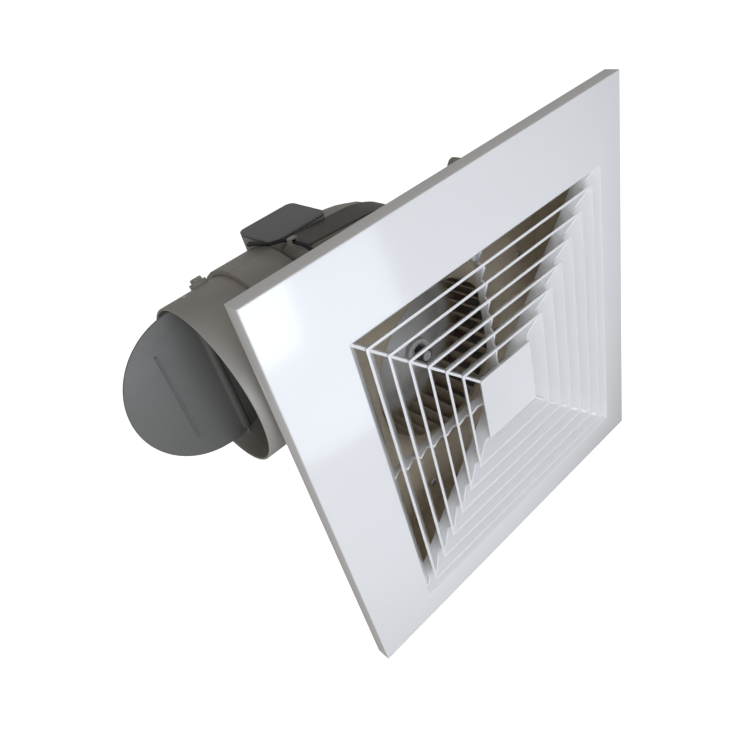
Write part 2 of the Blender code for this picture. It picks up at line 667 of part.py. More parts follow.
def ears(name, front):
    """Round-ended screw lugs on the seam, one for each place in EARS."""
    bm = bmesh.new()
    start = SEAM_Y - GAP / 2 - EAR_THICKNESS if front else SEAM_Y + GAP / 2
    for degrees, reach in EARS:
        middle = scroll_radius(degrees) + reach - EAR_RADIUS
        root = scroll_radius(degrees) - WALL / 2
        outline = [(root, -EAR_RADIUS)]
        for step in range(EAR_TIP_STEPS + 1):
            angle = math.pi * (step / EAR_TIP_STEPS - 0.5)
            outline.append((middle + EAR_RADIUS * math.cos(angle), EAR_RADIUS * math.sin(angle)))
        outline.append((root, EAR_RADIUS))
        turn = (Matrix.Translation((0.0, start + EAR_THICKNESS, 0.0))
                @ Matrix.Rotation(math.radians(-degrees), 4, "Y")
                @ Matrix.Rotation(math.radians(90), 4, "X"))
        add_plate(bm, outline, EAR_THICKNESS, turn)
    return hide(from_bmesh(name, bm, smooth=False))


def ear_holes(name):
    """Cutters for the screws that pass through the lugs."""
    bm = bmesh.new()
    for degrees, reach in EARS:
        centre = polar(scroll_radius(degrees) + reach - EAR_RADIUS, degrees,
                       SEAM_Y - 2 * EAR_THICKNESS)
        add_cylinder(bm, centre, 4 * EAR_THICKNESS, SCREW_SHANK + SLIP, "Y", HOLE_STEPS)
    return hide(from_bmesh(name, bm))


def build_casing():
    """The two moulded shells of the scroll, each with half of the outlet neck."""
    hollow_front = CASING_FRONT_Y + WALL
    hollow_back = CASING_BACK_Y - WALL
    scroll_hollow = hide(scroll_solid("scroll_hollow", -WALL, hollow_front, hollow_back))
    neck_hollow = hide(neck_solid("neck_hollow", -NECK_WALL, NECK_TIP_X - OVER))
    neck = hide(neck_solid("neck_blank", 0.0, NECK_TIP_X))
    holes = ear_holes("ear_holes")
    front_disc = hide(cylinder("front_flange_blank", (0.0, CASING_FRONT_Y, 0.0), WALL,
                               FRONT_FLANGE_RADIUS, "Y", ROUND_STEPS))
    mouth = hide(cylinder("casing_mouth", (0.0, CASING_FRONT_Y - OVER, 0.0), WALL + 2 * OVER,
                          CASING_MOUTH, "Y", ROUND_STEPS))
    motor_hole = hide(cylinder("motor_hole", (0.0, CASING_BACK_Y - WALL - OVER, 0.0),
                               WALL + 2 * OVER, MOTOR_HOLE, "Y", ROUND_STEPS))
    plate_holes = hide(inlet_screw_holes("casing_pilot_holes"))
    for name, front in (("casing_front_shell", True), ("casing_rear_shell", False)):
        shell = dress(scroll_solid(name, 0.0, CASING_FRONT_Y, CASING_BACK_Y), "casing_plastic")
        if front:
            boolean(shell, front_disc, "UNION")
        boolean(shell, neck, "UNION")
        boolean(shell, ears(f"{name}_ears", front), "UNION")
        boolean(shell, scroll_hollow)
        boolean(shell, neck_hollow)
        boolean(shell, mouth if front else motor_hole, solver="MANIFOLD")
        boolean(shell, half_space(f"{name}_other_half", front), solver="MANIFOLD")
        boolean(shell, holes, solver="MANIFOLD")
        small_holes = plate_holes if front else fixing_holes("rear_fixing_holes")
        boolean(shell, small_holes, solver="MANIFOLD")


def inlet_screw_places():
    """Angles of the screws that clamp the inlet ring, the frame and the front shell together."""
    return [INLET_SCREW_DEGREES + 360.0 * i / INLET_SCREW_COUNT for i in range(INLET_SCREW_COUNT)]


def inlet_screw_holes(name):
    """Cutters for the inlet screws, long enough for every piece they pass through."""
    bm = bmesh.new()
    start = INLET_PLATE_Y - OVER
    length = CASING_FRONT_Y + WALL + OVER - start
    for degrees in inlet_screw_places():
        add_cylinder(bm, polar(INLET_SCREW_RADIUS, degrees, start), length,
                     SCREW_SHANK + SLIP, "Y", HOLE_STEPS)
    return from_bmesh(name, bm)


def neck_clearance(name):
    """The neck grown by a gap, for what has to stay clear of it."""
    return hide(neck_solid(name, GAP + SLIP, NECK_TIP_X - OVER))


# --- Mounting frame ------------------------------------------------------------------------------

def build_mounting_frame():
    """The tub that stands in the wall, with the flange that is screwed to it."""
    frame = dress(box("mounting_frame", (-TUB_HALF, FLANGE_FRONT_Y, -TUB_HALF),
                      (TUB_HALF, TUB_DEPTH, TUB_HALF)), "casing_plastic")
    flange = hide(box("flange_blank", (-FLANGE_HALF, FLANGE_FRONT_Y, -FLANGE_HALF),
                      (FLANGE_HALF, 0.0, FLANGE_HALF)))
    boolean(frame, flange, "UNION")
    inner = TUB_HALF - TUB_WALL
    hollow = hide(box("tub_hollow", (-inner, FLANGE_FRONT_Y - OVER, -inner),
                      (inner, TUB_DEPTH - TUB_WALL, inner)))
    boolean(frame, hollow)
    bm = bmesh.new()
    add_cylinder(bm, (0.0, TUB_DEPTH - TUB_WALL - OVER, 0.0), TUB_WALL + 2 * OVER,
                 TUB_FLOOR_BORE, "Y", ROUND_STEPS)
    boolean(frame, hide(from_bmesh("tub_bore", bm)))
    boolean(frame, hide(inlet_screw_holes("tub_screw_holes")))
    boolean(frame, hide(corner_holes("flange_holes")))
    boolean(frame, neck_clearance("frame_neck_clearance"))
    return frame


def corner_places():
    """The four fixing points of the flange."""
    return [(x * CORNER_HOLE_AT, z * CORNER_HOLE_AT) for x in (-1, 1) for z in (-1, 1)]


def corner_holes(name):
    """Cutters for the flange's fixing screws."""
    bm = bmesh.new()
    for x, z in corner_places():
        add_cylinder(bm, (x, FLANGE_FRONT_Y - OVER, z), FLANGE_THICKNESS + 2 * OVER,
                     CORNER_HOLE, "Y", HOLE_STEPS)
    return from_bmesh(name, bm)


def screw(name, seat, length, finish="steel", towards=1, head=SCREW_HEAD):
    """A pan head screw: its head rests on the seat and its shank runs along Y."""
    shank_end = towards * length
    head_end = -towards * SCREW_HEAD_HEIGHT
    profile = [(0.0, shank_end), (SCREW_SHANK, shank_end - towards * SCREW_POINT),
               (SCREW_SHANK, 0.0), (head, 0.0), (head, head_end * SCREW_CROWN),
               (head * SCREW_TOP, head_end), (0.0, head_end)]
    body = dress(turned(name, profile, steps=SCREW_STEPS, place=seat), finish)
    half = SCREW_SLOT / 2
    top = seat[1] + head_end
    bottom = top + towards * SCREW_SLOT
    low_y, high_y = sorted((top - towards * OVER, bottom))
    bm = bmesh.new()
    reach = head * SCREW_SLOT_SHARE
    add_box(bm, (seat[0] - reach, low_y, seat[2] - half), (seat[0] + reach, high_y, seat[2] + half))
    boolean(body, hide(from_bmesh(f"{name}_slot", bm, smooth=False)))
    return body


def build_screws():
    """Fixing screws of the flange, the inlet ring and the casing seam."""
    for index, (x, z) in enumerate(corner_places(), 1):
        screw(f"mounting_screw_{index}", (x, FLANGE_FRONT_Y - GAP, z), MOUNTING_SCREW,
              head=MOUNTING_HEAD)
    for index, degrees in enumerate(inlet_screw_places(), 1):
        seat = polar(INLET_SCREW_RADIUS, degrees, INLET_PLATE_Y - GAP)
        screw(f"inlet_screw_{index}", seat, CASING_FRONT_Y + WALL - seat.y + SCREW_END)
    for index, (degrees, reach) in enumerate(EARS, 1):
        seat = polar(scroll_radius(degrees) + reach - EAR_RADIUS, degrees,
                     SEAM_Y + GAP / 2 + EAR_THICKNESS + GAP)
        screw(f"casing_screw_{index}", seat, 2 * EAR_THICKNESS + CASING_SCREW_END,
              "dark_steel", towards=-1)


# --- Inlet ring and impeller ---------------------------------------------------------------------

def build_inlet_ring():
    """The flat ring whose flared throat leads the air into the impeller."""
    front = INLET_PLATE_Y
    back = INLET_PLATE_Y + INLET_PLATE_THICKNESS
    arc_steps = 4
    depth = INLET_LIP_Y - front
    face = []
    for step in range(arc_steps + 1):
        angle = math.pi / 2 * step / arc_steps
        face.append((INLET_THROAT + INLET_FLARE * (1 - math.sin(angle)),
                     front + depth * (1 - math.cos(angle))))
    rear = [(r + INLET_SKIN, min(y + INLET_PLATE_THICKNESS, INLET_LIP_Y)) for r, y in face]
    profile = [(INLET_PLATE_RADIUS, front), *face, *reversed(rear[:-1]), (INLET_PLATE_RADIUS, back)]
    ring = dress(turned("inlet_ring", profile, steps=ROUND_STEPS), "casing_plastic")
    boolean(ring, hide(inlet_screw_holes("ring_screw_holes")))
    boolean(ring, neck_clearance("ring_neck_clearance"))


def build_impeller():
    """The centrifugal wheel: a hub cone, a back plate, a front hoop and the vanes between."""
    back = IMPELLER_BACK_Y
    plate_front = back - HUB_SKIN
    hub_back = HUB_FRONT_Y + HUB_LENGTH
    bore = SHAFT_RADIUS + GAP
    profile = [
        (bore, HUB_FRONT_Y), (HUB_RADIUS, HUB_FRONT_Y), (HUB_RADIUS, HUB_CONE_Y),
        (HUB_CONE_RADIUS, plate_front), (IMPELLER_RADIUS, plate_front), (IMPELLER_RADIUS, back),
        (HUB_CONE_RADIUS - HUB_SKIN / 2, back), (HUB_RADIUS, HUB_CONE_Y + 3 * HUB_SKIN / 2),
        (HUB_RADIUS, hub_back), (bore, hub_back),
    ]
    wheel = dress(turned("impeller_wheel", profile, steps=ROUND_STEPS), "white_plastic")
    hoop = [(BLADE_ROOT, IMPELLER_FRONT_Y), (IMPELLER_RADIUS, IMPELLER_FRONT_Y),
            (IMPELLER_RADIUS, IMPELLER_FRONT_Y + IMPELLER_RING),
            (BLADE_ROOT, IMPELLER_FRONT_Y + IMPELLER_RING)]
    boolean(wheel, hide(vanes()), "UNION")
    boolean(wheel, hide(turned("front_hoop", hoop, steps=ROUND_STEPS)), "UNION")
    return wheel


def vanes():
    """The forward-curved vanes as separate blocks, each sunk into the hoop and the back plate."""
    bm = bmesh.new()
    middle = (BLADE_ROOT + IMPELLER_RADIUS) / 2
    chord = (VANE_DEPTH - 2 * VANE_INSET) / math.cos(math.radians(VANE_SWEEP_DEGREES))
    low_y = IMPELLER_FRONT_Y + IMPELLER_RING * VANE_SINK
    high_y = IMPELLER_BACK_Y - HUB_SKIN * VANE_SINK
    sweep = Matrix.Rotation(math.radians(VANE_SWEEP_DEGREES), 4, "Y")
    for vane in range(VANE_COUNT):
        place = Matrix.Rotation(2 * math.pi * vane / VANE_COUNT, 4, "Y")
        turn = place @ Matrix.Translation((middle, 0.0, 0.0)) @ sweep
        add_box(bm, (-chord / 2, low_y, -VANE_THICKNESS / 2),
                (chord / 2, high_y, VANE_THICKNESS / 2), turn)
    return from_bmesh("vane_blanks", bm, smooth=False)


def build_impeller_fixings():
    """Washer and nut that hold the wheel on the shaft."""
    bore = SHAFT_RADIUS + GAP
    washer_back = HUB_FRONT_Y - GAP
    washer_front = washer_back - WASHER_THICKNESS
    ring = [(bore, washer_front), (WASHER_RADIUS, washer_front), (WASHER_RADIUS, washer_back),
            (bore, washer_back)]
    dress(turned("impeller_washer", ring, steps=SMALL_STEPS), "steel")
    nut_back = washer_front - GAP
    nut_front = nut_back - NUT_HEIGHT
    nut = dress(cylinder("impeller_nut", (0.0, nut_front, 0.0), nut_back - nut_front,
                         NUT_RADIUS, "Y", 6), "dark_steel")
    boolean(nut, hide(cylinder("nut_bore", (0.0, nut_front - OVER, 0.0),
                               nut_back - nut_front + 2 * OVER, bore, "Y", SMALL_STEPS)))


# --- Outlet --------------------------------------------------------------------------------------

def build_spigot():
    """The round spigot that the duct slides over, with its latch and the damper's hinge holes."""
    root_x = NECK_TIP_X + SPIGOT_PLUG
    inner = SPIGOT_RADIUS - SPIGOT_WALL
    spigot = dress(tube("outlet_spigot", SPIGOT_TIP_X, root_x, SPIGOT_RADIUS, inner),
                   "casing_plastic")
    length, width, height = LATCH_SIZE
    lift = Matrix.Rotation(math.radians(LATCH_DEGREES - 90.0), 4, "X")
    turn = Matrix.Translation((NECK_TIP_X - LATCH_GAP, NECK_Y, NECK_Z)) @ lift
    base = SPIGOT_RADIUS - SPIGOT_WALL / 2
    latch = hide(box("latch_blank", (-length / 2, -width / 2, base),
                     (length / 2, width / 2, SPIGOT_RADIUS + height), LATCH_ROUNDING, turn))
    boolean(spigot, latch, "UNION")
    holes = hide(cylinder("hinge_holes", (HINGE_X, HINGE_Y, NECK_Z - SPIGOT_RADIUS - OVER),
                          2 * (SPIGOT_RADIUS + OVER), PIN_RADIUS + SLIP, "Z", SMALL_STEPS))
    boolean(spigot, holes)


def build_damper():
    """The backdraught flap on its hinge pin, standing open."""
    centre = Vector((HINGE_X - DAMPER_OFFSET, HINGE_Y, NECK_Z))
    pivot = Vector((HINGE_X, HINGE_Y, NECK_Z))
    bm = bmesh.new()
    local = centre - pivot
    add_cylinder(bm, local - Vector((0.0, DAMPER_THICKNESS / 2, 0.0)), DAMPER_THICKNESS,
                 DAMPER_RADIUS, "Y", ROUND_STEPS)
    flap = dress(from_bmesh("damper_flap", bm), "damper_plastic")
    flap.location = pivot
    chord = math.sqrt((SPIGOT_RADIUS - SPIGOT_WALL) ** 2 - DAMPER_OFFSET ** 2)
    sleeve_half = chord - SLEEVE_SHORT
    sleeve = hide(cylinder("hinge_sleeve", pivot - Vector((0.0, 0.0, sleeve_half)),
                           2 * sleeve_half, HINGE_SLEEVE, "Z", SMALL_STEPS))
    boolean(flap, sleeve, "UNION")
    rib_x = centre.x - DAMPER_RIB_AT
    face = HINGE_Y - DAMPER_THICKNESS / 2
    rib = hide(box("damper_rib", (rib_x - DAMPER_RIB / 2, face - DAMPER_RIB, NECK_Z - DAMPER_RIB_HALF),
                   (rib_x + DAMPER_RIB / 2, face + DAMPER_THICKNESS / 2, NECK_Z + DAMPER_RIB_HALF)))
    boolean(flap, rib, "UNION")
    bore = hide(cylinder("damper_bore", pivot - Vector((0.0, 0.0, 2 * chord)), 4 * chord,
                         PIN_RADIUS + GAP, "Z", SMALL_STEPS))
    boolean(flap, bore)
    pin_half = math.sqrt(SPIGOT_RADIUS ** 2 - DAMPER_OFFSET ** 2) + PIN_PROUD
    dress(cylinder("damper_pin", pivot - Vector((0.0, 0.0, pin_half)), 2 * pin_half,
                   PIN_RADIUS, "Z", SMALL_STEPS), "steel")


# --- Motor ---------------------------------------------------------------------------------------

def fixing_degrees(index):
    """Angle of one of the motor's fixings."""
    return FIXING_DEGREES + 360.0 * index / FIXING_COUNT


def fixing_holes(name):
    """Cutters for the motor's fixing screws through the back wall."""
    bm = bmesh.new()
    for index in range(FIXING_COUNT):
        start = polar(FIXING_RADIUS, fixing_degrees(index), CASING_BACK_Y - WALL - OVER)
        add_cylinder(bm, start, WALL + 2 * OVER, SCREW_SHANK + SLIP, "Y", HOLE_STEPS)
    return hide(from_bmesh(name, bm))


def build_motor():
    """The motor: two shells, stator, windings, rotor, shaft and bearings."""
    inner = MOTOR_RADIUS - MOTOR_WALL
    joint_y = MOTOR_FLANGE_Y - GAP
    nose_bore = SHAFT_RADIUS + SLIP
    seat = BEARING_RADIUS + GAP
    nose_back = MOTOR_NOSE_Y + MOTOR_WALL + BEARING_LENGTH + GAP
    skin_back = nose_back + 4 * MOTOR_WALL / 3
    front = [
        (nose_bore, MOTOR_NOSE_Y), (NOSE_RADIUS, MOTOR_NOSE_Y), (NOSE_RADIUS, nose_back),
        (MOTOR_RADIUS, MOTOR_SHOULDER_Y), (MOTOR_RADIUS, joint_y), (inner, joint_y),
        (inner, MOTOR_SHOULDER_Y + MOTOR_WALL / 2), (NOSE_RADIUS, skin_back),
        (seat, skin_back), (seat, MOTOR_NOSE_Y + MOTOR_WALL),
        (nose_bore, MOTOR_NOSE_Y + MOTOR_WALL),
    ]
    dress(turned("motor_front_shell", front, steps=MOTOR_STEPS), "steel")
    cap_in = MOTOR_BACK_Y - MOTOR_WALL
    boss_front = cap_in - BEARING_LENGTH
    rear = [
        (inner, MOTOR_FLANGE_Y), (MOTOR_FLANGE_RADIUS, MOTOR_FLANGE_Y),
        (MOTOR_FLANGE_RADIUS, MOTOR_FLANGE_Y + MOTOR_FLANGE_THICKNESS),
        (MOTOR_RADIUS, MOTOR_FLANGE_Y + MOTOR_FLANGE_THICKNESS),
        (MOTOR_RADIUS, MOTOR_BACK_Y - MOTOR_ROUNDING),
        (MOTOR_RADIUS - MOTOR_ROUNDING, MOTOR_BACK_Y),
        (0.0, MOTOR_BACK_Y), (0.0, cap_in), (seat, cap_in), (seat, boss_front),
        (seat + MOTOR_WALL, boss_front), (seat + MOTOR_WALL, cap_in),
        (inner - MOTOR_ROUNDING, cap_in), (inner, cap_in - MOTOR_ROUNDING),
    ]
    shell = dress(turned("motor_rear_shell", rear, steps=MOTOR_STEPS), "steel")
    bm = bmesh.new()
    for index in range(FIXING_COUNT):
        start = polar(FIXING_RADIUS, fixing_degrees(index), MOTOR_FLANGE_Y - OVER)
        add_cylinder(bm, start, MOTOR_FLANGE_THICKNESS + 2 * OVER, SCREW_SHANK + SLIP, "Y", HOLE_STEPS)
    boolean(shell, hide(from_bmesh("flange_fixing_holes", bm)))

    core = [(STATOR_BORE, STATOR_FRONT_Y), (STATOR_RADIUS, STATOR_FRONT_Y),
            (STATOR_RADIUS, STATOR_BACK_Y), (STATOR_BORE, STATOR_BACK_Y)]
    dress(turned("stator_core", core, steps=MOTOR_STEPS), "dark_steel")
    for name, start in (("winding_front", STATOR_FRONT_Y - GAP - WINDING_LENGTH),
                        ("winding_rear", STATOR_BACK_Y + GAP)):
        ring = [(WINDING_INNER, start), (WINDING_OUTER, start),
                (WINDING_OUTER, start + WINDING_LENGTH), (WINDING_INNER, start + WINDING_LENGTH)]
        dress(turned(name, ring), "copper")
    bore = SHAFT_RADIUS + GAP
    rotor = [(bore, STATOR_FRONT_Y - ROTOR_OVERHANG), (ROTOR_RADIUS, STATOR_FRONT_Y - ROTOR_OVERHANG),
             (ROTOR_RADIUS, STATOR_BACK_Y + ROTOR_OVERHANG), (bore, STATOR_BACK_Y + ROTOR_OVERHANG)]
    dress(turned("rotor", rotor, steps=MOTOR_STEPS), "dark_steel")
    dress(cylinder("motor_shaft", (0.0, SHAFT_FRONT_Y, 0.0), SHAFT_BACK_Y - SHAFT_FRONT_Y,
                   SHAFT_RADIUS, "Y", SMALL_STEPS), "steel")
    for name, start in (("bearing_front", MOTOR_NOSE_Y + MOTOR_WALL + GAP),
                        ("bearing_rear", boss_front - GAP)):
        ring = [(bore, start), (BEARING_RADIUS, start), (BEARING_RADIUS, start + BEARING_LENGTH),
                (bore, start + BEARING_LENGTH)]
        dress(turned(name, ring, steps=SMALL_STEPS), "steel")


def build_motor_fixings():
    """A rubber grommet and a screw at each fixing of the motor."""
    flange_back = MOTOR_FLANGE_Y + MOTOR_FLANGE_THICKNESS + GAP
    bore = SCREW_SHANK + GAP
    for index in range(FIXING_COUNT):
        degrees = fixing_degrees(index)
        place = polar(FIXING_RADIUS, degrees, flange_back)
        ring = [(bore, 0.0), (GROMMET_RADIUS, 0.0), (GROMMET_RADIUS, GROMMET_LENGTH),
                (bore, GROMMET_LENGTH)]
        dress(turned(f"rubber_mount_{index + 1}", ring, steps=SCREW_STEPS, place=place),
              "black_rubber")
        seat = polar(FIXING_RADIUS, degrees, flange_back + GROMMET_LENGTH + GAP)
        length = seat.y - CASING_BACK_Y + WALL + MOTOR_SCREW_END
        screw(f"motor_screw_{index + 1}", seat, length, towards=-1)


# --- Terminal box, lead and label ------------------------------------------------------------------

def casing_clearance(name):
    """The rear of the casing grown by a gap, for the box that sits on its shoulder."""
    return hide(scroll_solid(name, GAP, CASING_FRONT_Y - GAP, CASING_BACK_Y + GAP))


def build_terminal_box():
    """The box on the casing's shoulder where the supply joins the motor's leads."""
    right = BOX_LEFT_X + BOX_LENGTH
    back = CASING_BACK_Y - BOX_SETBACK
    body_top = BOX_TOP_Z - LID_THICKNESS - GAP
    low = (BOX_LEFT_X, BOX_FRONT_Y, BOX_TOP_Z - BOX_HEIGHT)
    body = dress(rounded_block("terminal_box", low, (right, back, body_top)), "casing_plastic")
    boolean(body, casing_clearance("box_casing_clearance"))
    boolean(body, neck_clearance("box_neck_clearance"))
    hollow = hide(box("terminal_hollow",
                      (BOX_LEFT_X + BOX_WALL, BOX_FRONT_Y + BOX_FLOOR, body_top - TERMINAL_DEPTH),
                      (right - BOX_WALL, back - BOX_WALL, body_top + OVER)))
    boolean(body, hollow)
    lid = dress(rounded_block("terminal_lid", (BOX_LEFT_X, BOX_FRONT_Y, BOX_TOP_Z - LID_THICKNESS),
                              (right, back, BOX_TOP_Z)), "casing_plastic")
    length, width, height = BLOCK_SIZE
    middle = (BOX_LEFT_X + right) / 2
    block_back = back - BOX_WALL - GAP
    block_low = body_top - TERMINAL_DEPTH + GAP
    dress(box("terminal_block", (middle - length / 2, block_back - width, block_low),
              (middle + length / 2, block_back, block_low + height)), "black_rubber")
    return lid


def rounded_block(name, low, high):
    """A block whose upright edges are rounded, from an outline extruded upwards."""
    bm = bmesh.new()
    add_box(bm, low, high)
    upright = [e for e in bm.edges if abs(e.verts[0].co.z - e.verts[1].co.z) > 1e-6]
    bmesh.ops.bevel(bm, geom=upright, offset=BOX_CORNER, segments=4, profile=0.5,
                    affect="EDGES")
    return from_bmesh(name, bm)


def scroll_top(x):
    """Height of the scroll's outside at a place left of the fan's axis, above the seam."""
    degrees = 90.0
    for _ in range(ROOF_ROUNDS):
        radius = scroll_radius(degrees)
        degrees = math.degrees(math.acos(max(-1.0, min(1.0, x / radius))))
    return scroll_radius(degrees) * math.sin(math.radians(degrees))


def build_label():
    """The rating plate on top of the scroll, with nothing printed on it."""
    bm = bmesh.new()
    rows = []
    for step in range(LABEL_STEPS + 1):
        x = LABEL_LEFT_X + LABEL_LENGTH * step / LABEL_STEPS
        z = scroll_top(x) + GAP
        rows.append([bm.verts.new((x, LABEL_FRONT_Y, z)),
                     bm.verts.new((x, LABEL_FRONT_Y + LABEL_WIDTH, z))])
    for near, far in zip(rows, rows[1:]):
        bm.faces.new((near[0], far[0], far[1], near[1]))
    label = dress(from_bmesh("rating_label", bm), "label")
    solidify = label.modifiers.new("thickness", "SOLIDIFY")
    solidify.thickness = LABEL_THICKNESS
    solidify.offset = 1.0


def lead_knots():
    """The lead's places in the object's frame, from the box's side to the tub's top wall."""
    knots = [(BOX_LEFT_X - left, BOX_FRONT_Y + back, BOX_TOP_Z + up)
             for left, back, up in LEAD_ROUTE]
    knots += [(BOX_LEFT_X - left, BOX_FRONT_Y + back, TUB_HALF + up)
              for left, back, up in LEAD_END]
    return knots


def build_lead():
    """The supply lead, its clip on the scroll and the grommet where it enters the tub."""
    knots = lead_knots()
    wire("supply_lead", smooth_route(knots, LEAD_STEPS), LEAD_RADIUS, "black_rubber")
    run_x, end_y, _ = knots[-1]
    clip_y = BOX_FRONT_Y - CLIP_AT
    rest = scroll_top(run_x) + GAP
    length, width, height = CLIP_SIZE
    clip = dress(box("lead_clip", (run_x - length / 2, clip_y - width / 2, rest),
                     (run_x + length / 2, clip_y + width / 2, rest + height)), "casing_plastic")
    side = LEAD_RADIUS + GAP
    channel = hide(box("clip_channel", (run_x - side, clip_y - width, rest - OVER),
                       (run_x + side, clip_y + width, rest + height - CLIP_ROOF)))
    boolean(clip, channel)
    dress(cylinder("lead_grommet", (run_x, end_y, TUB_HALF + GAP), CORD_GRIP_HEIGHT,
                   CORD_GRIP_RADIUS, "Z", SMALL_STEPS), "black_rubber")


clear_scene()
PARTS = collection("bathroom_extractor_fan")
CUTTERS = collection("cutters")
build_grille()
build_springs()
build_mounting_frame()
build_casing()
build_inlet_ring()
build_impeller()
build_impeller_fixings()
build_spigot()
build_damper()
build_motor()
build_motor_fixings()
build_terminal_box()
build_label()
build_lead()
build_screws()
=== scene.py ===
"""Looks of a bathroom extractor fan: louvred grille, scroll casing, spigot, wheel and fixings.

Everything is in metres in the CAD part's frame. +X is to the right of somebody facing the grille,
-Y points into the room, +Z is up, and the fan's axis is the Y axis. Each class below is one
sub-assembly. It holds its sizes as fields, works its surfaces out as whole numpy arrays, and puts
each finished piece on the CAD body that it moves with.
"""

import logging
import math
from dataclasses import dataclass, field
from enum import Enum
from typing import Sequence, Union

import bmesh
import bpy
import numpy as np
from mathutils import Matrix, Quaternion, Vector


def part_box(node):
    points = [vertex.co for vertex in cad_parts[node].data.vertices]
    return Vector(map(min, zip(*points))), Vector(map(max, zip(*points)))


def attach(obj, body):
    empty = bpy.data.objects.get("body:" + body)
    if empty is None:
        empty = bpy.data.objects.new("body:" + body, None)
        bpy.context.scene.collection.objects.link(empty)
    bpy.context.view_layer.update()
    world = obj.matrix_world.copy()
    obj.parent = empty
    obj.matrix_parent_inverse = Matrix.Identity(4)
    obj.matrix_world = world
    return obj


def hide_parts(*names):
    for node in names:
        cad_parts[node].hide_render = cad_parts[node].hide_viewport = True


Array = np.ndarray
Colour = tuple[float, float, float]
Number = Union[int, float]

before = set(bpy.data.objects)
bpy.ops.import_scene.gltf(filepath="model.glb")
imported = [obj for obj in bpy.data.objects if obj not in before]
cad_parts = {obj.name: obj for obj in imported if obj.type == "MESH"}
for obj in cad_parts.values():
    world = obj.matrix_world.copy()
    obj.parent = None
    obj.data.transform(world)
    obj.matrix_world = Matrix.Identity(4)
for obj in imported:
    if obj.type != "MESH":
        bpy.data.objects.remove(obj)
LOG = logging.getLogger("extractor_fan")
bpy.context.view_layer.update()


class Body(Enum):
    """The CAD bodies that pieces ride on."""

    HOUSING = "housing"
    GRILLE = "grille"
    IMPELLER = "impeller"
    DAMPER = "damper"


class Slot(Enum):
    """The record's material slots."""

    GRILLE = "white_gloss_plastic"
    CASING = "casing_plastic"
    WHEEL = "impeller_plastic"
    DAMPER = "damper_plastic"
    MOTOR = "zinc_motor_shell"
    BRIGHT = "bright_steel"
    DARK = "dark_steel"
    CORE = "lamination_steel"
    COPPER = "copper_winding"
    RUBBER = "black_rubber"
    LABEL = "label_film"


class Axis(Enum):
    """The order in which (across, across, along) fill X, Y and Z on a turned piece."""

    X = (2, 0, 1)
    Y = (0, 2, 1)
    Z = (0, 1, 2)


# --- Surfaces ------------------------------------------------------------------------------------


@dataclass
class Patch:
    """One closed surface: its points and its four-cornered faces."""

    points: Array
    quads: Array

    def moved(self, matrix: Matrix) -> "Patch":
        """The same surface turned and shifted.

        Args:
            matrix: a 4 by 4 matrix.

        Returns:
            A new patch whose points are matrix times the old ones.
        """
        turn = np.array(matrix, float)
        return Patch(self.points @ turn[:3, :3].T + turn[:3, 3], self.quads)


def net(points: Array, wrap_u: bool = True, wrap_v: bool = True) -> Patch:
    """Joins a grid of points into faces: (i, j), (i+1, j), (i+1, j+1), (i, j+1).

    Args:
        points: array of shape (u, v, 3).
        wrap_u: whether the last row joins the first.
        wrap_v: whether the last column joins the first.

    Returns:
        The surface.
    """
    rows, columns = points.shape[:2]
    i = np.arange(rows if wrap_u else rows - 1)[:, None]
    j = np.arange(columns if wrap_v else columns - 1)[None, :]
    near, far = i * columns, ((i + 1) % rows) * columns
    right = (j + 1) % columns
    corners = np.broadcast_arrays(near + j, far + j, far + right, near + right)
    return Patch(points.reshape(-1, 3), np.stack(corners, axis=-1).reshape(-1, 4))


def capped(points: Array) -> Patch:
    """Joins rows of a tube into faces and closes both ends on the middle of the end rows.

    Args:
        points: array of shape (rows, ring, 3).

    Returns:
        The closed surface.
    """
    middles = points[[0, -1]].mean(axis=1, keepdims=True)
    ends = np.broadcast_to(middles, (2, points.shape[1], 3))
    return net(np.concatenate([ends[:1], points, ends[1:]]), wrap_u=False)


def fillet(corners: Sequence[tuple[float, ...]], steps: int = 5) -> Array:
    """Rounds the corners of a closed polygon.

    For a corner of half angle h and radius r the arc starts r / tan(h) before the corner, ends as
    far after it, and its centre lies r / sin(h) along the bisector. Points on the arc are the
    spherical blend of the two end radii.

    Args:
        corners: (x, y, radius) for each corner, in order.
        steps: points on each arc.

    Returns:
        Points of shape (corners * steps, 2).
    """
    table = np.array(corners, float)
    place, radius = table[:, :2], np.maximum(table[:, 2:], 1e-6)
    before = np.roll(place, 1, axis=0) - place
    after = np.roll(place, -1, axis=0) - place
    before /= np.linalg.norm(before, axis=1, keepdims=True)
    after /= np.linalg.norm(after, axis=1, keepdims=True)
    half = np.arccos(np.clip((before * after).sum(1, keepdims=True), -1, 1)) / 2
    bisector = before + after
    bisector /= np.linalg.norm(bisector, axis=1, keepdims=True)
    centre = place + bisector * radius / np.sin(half)
    first = place + before * radius / np.tan(half) - centre
    last = place + after * radius / np.tan(half) - centre
    swing = (math.pi - 2 * half)[:, None, :]
    share = np.linspace(0, 1, steps)[None, :, None]
    arc = np.sin((1 - share) * swing) * first[:, None] + np.sin(share * swing) * last[:, None]
    return (centre[:, None] + arc / np.sin(swing)).reshape(-1, 2)


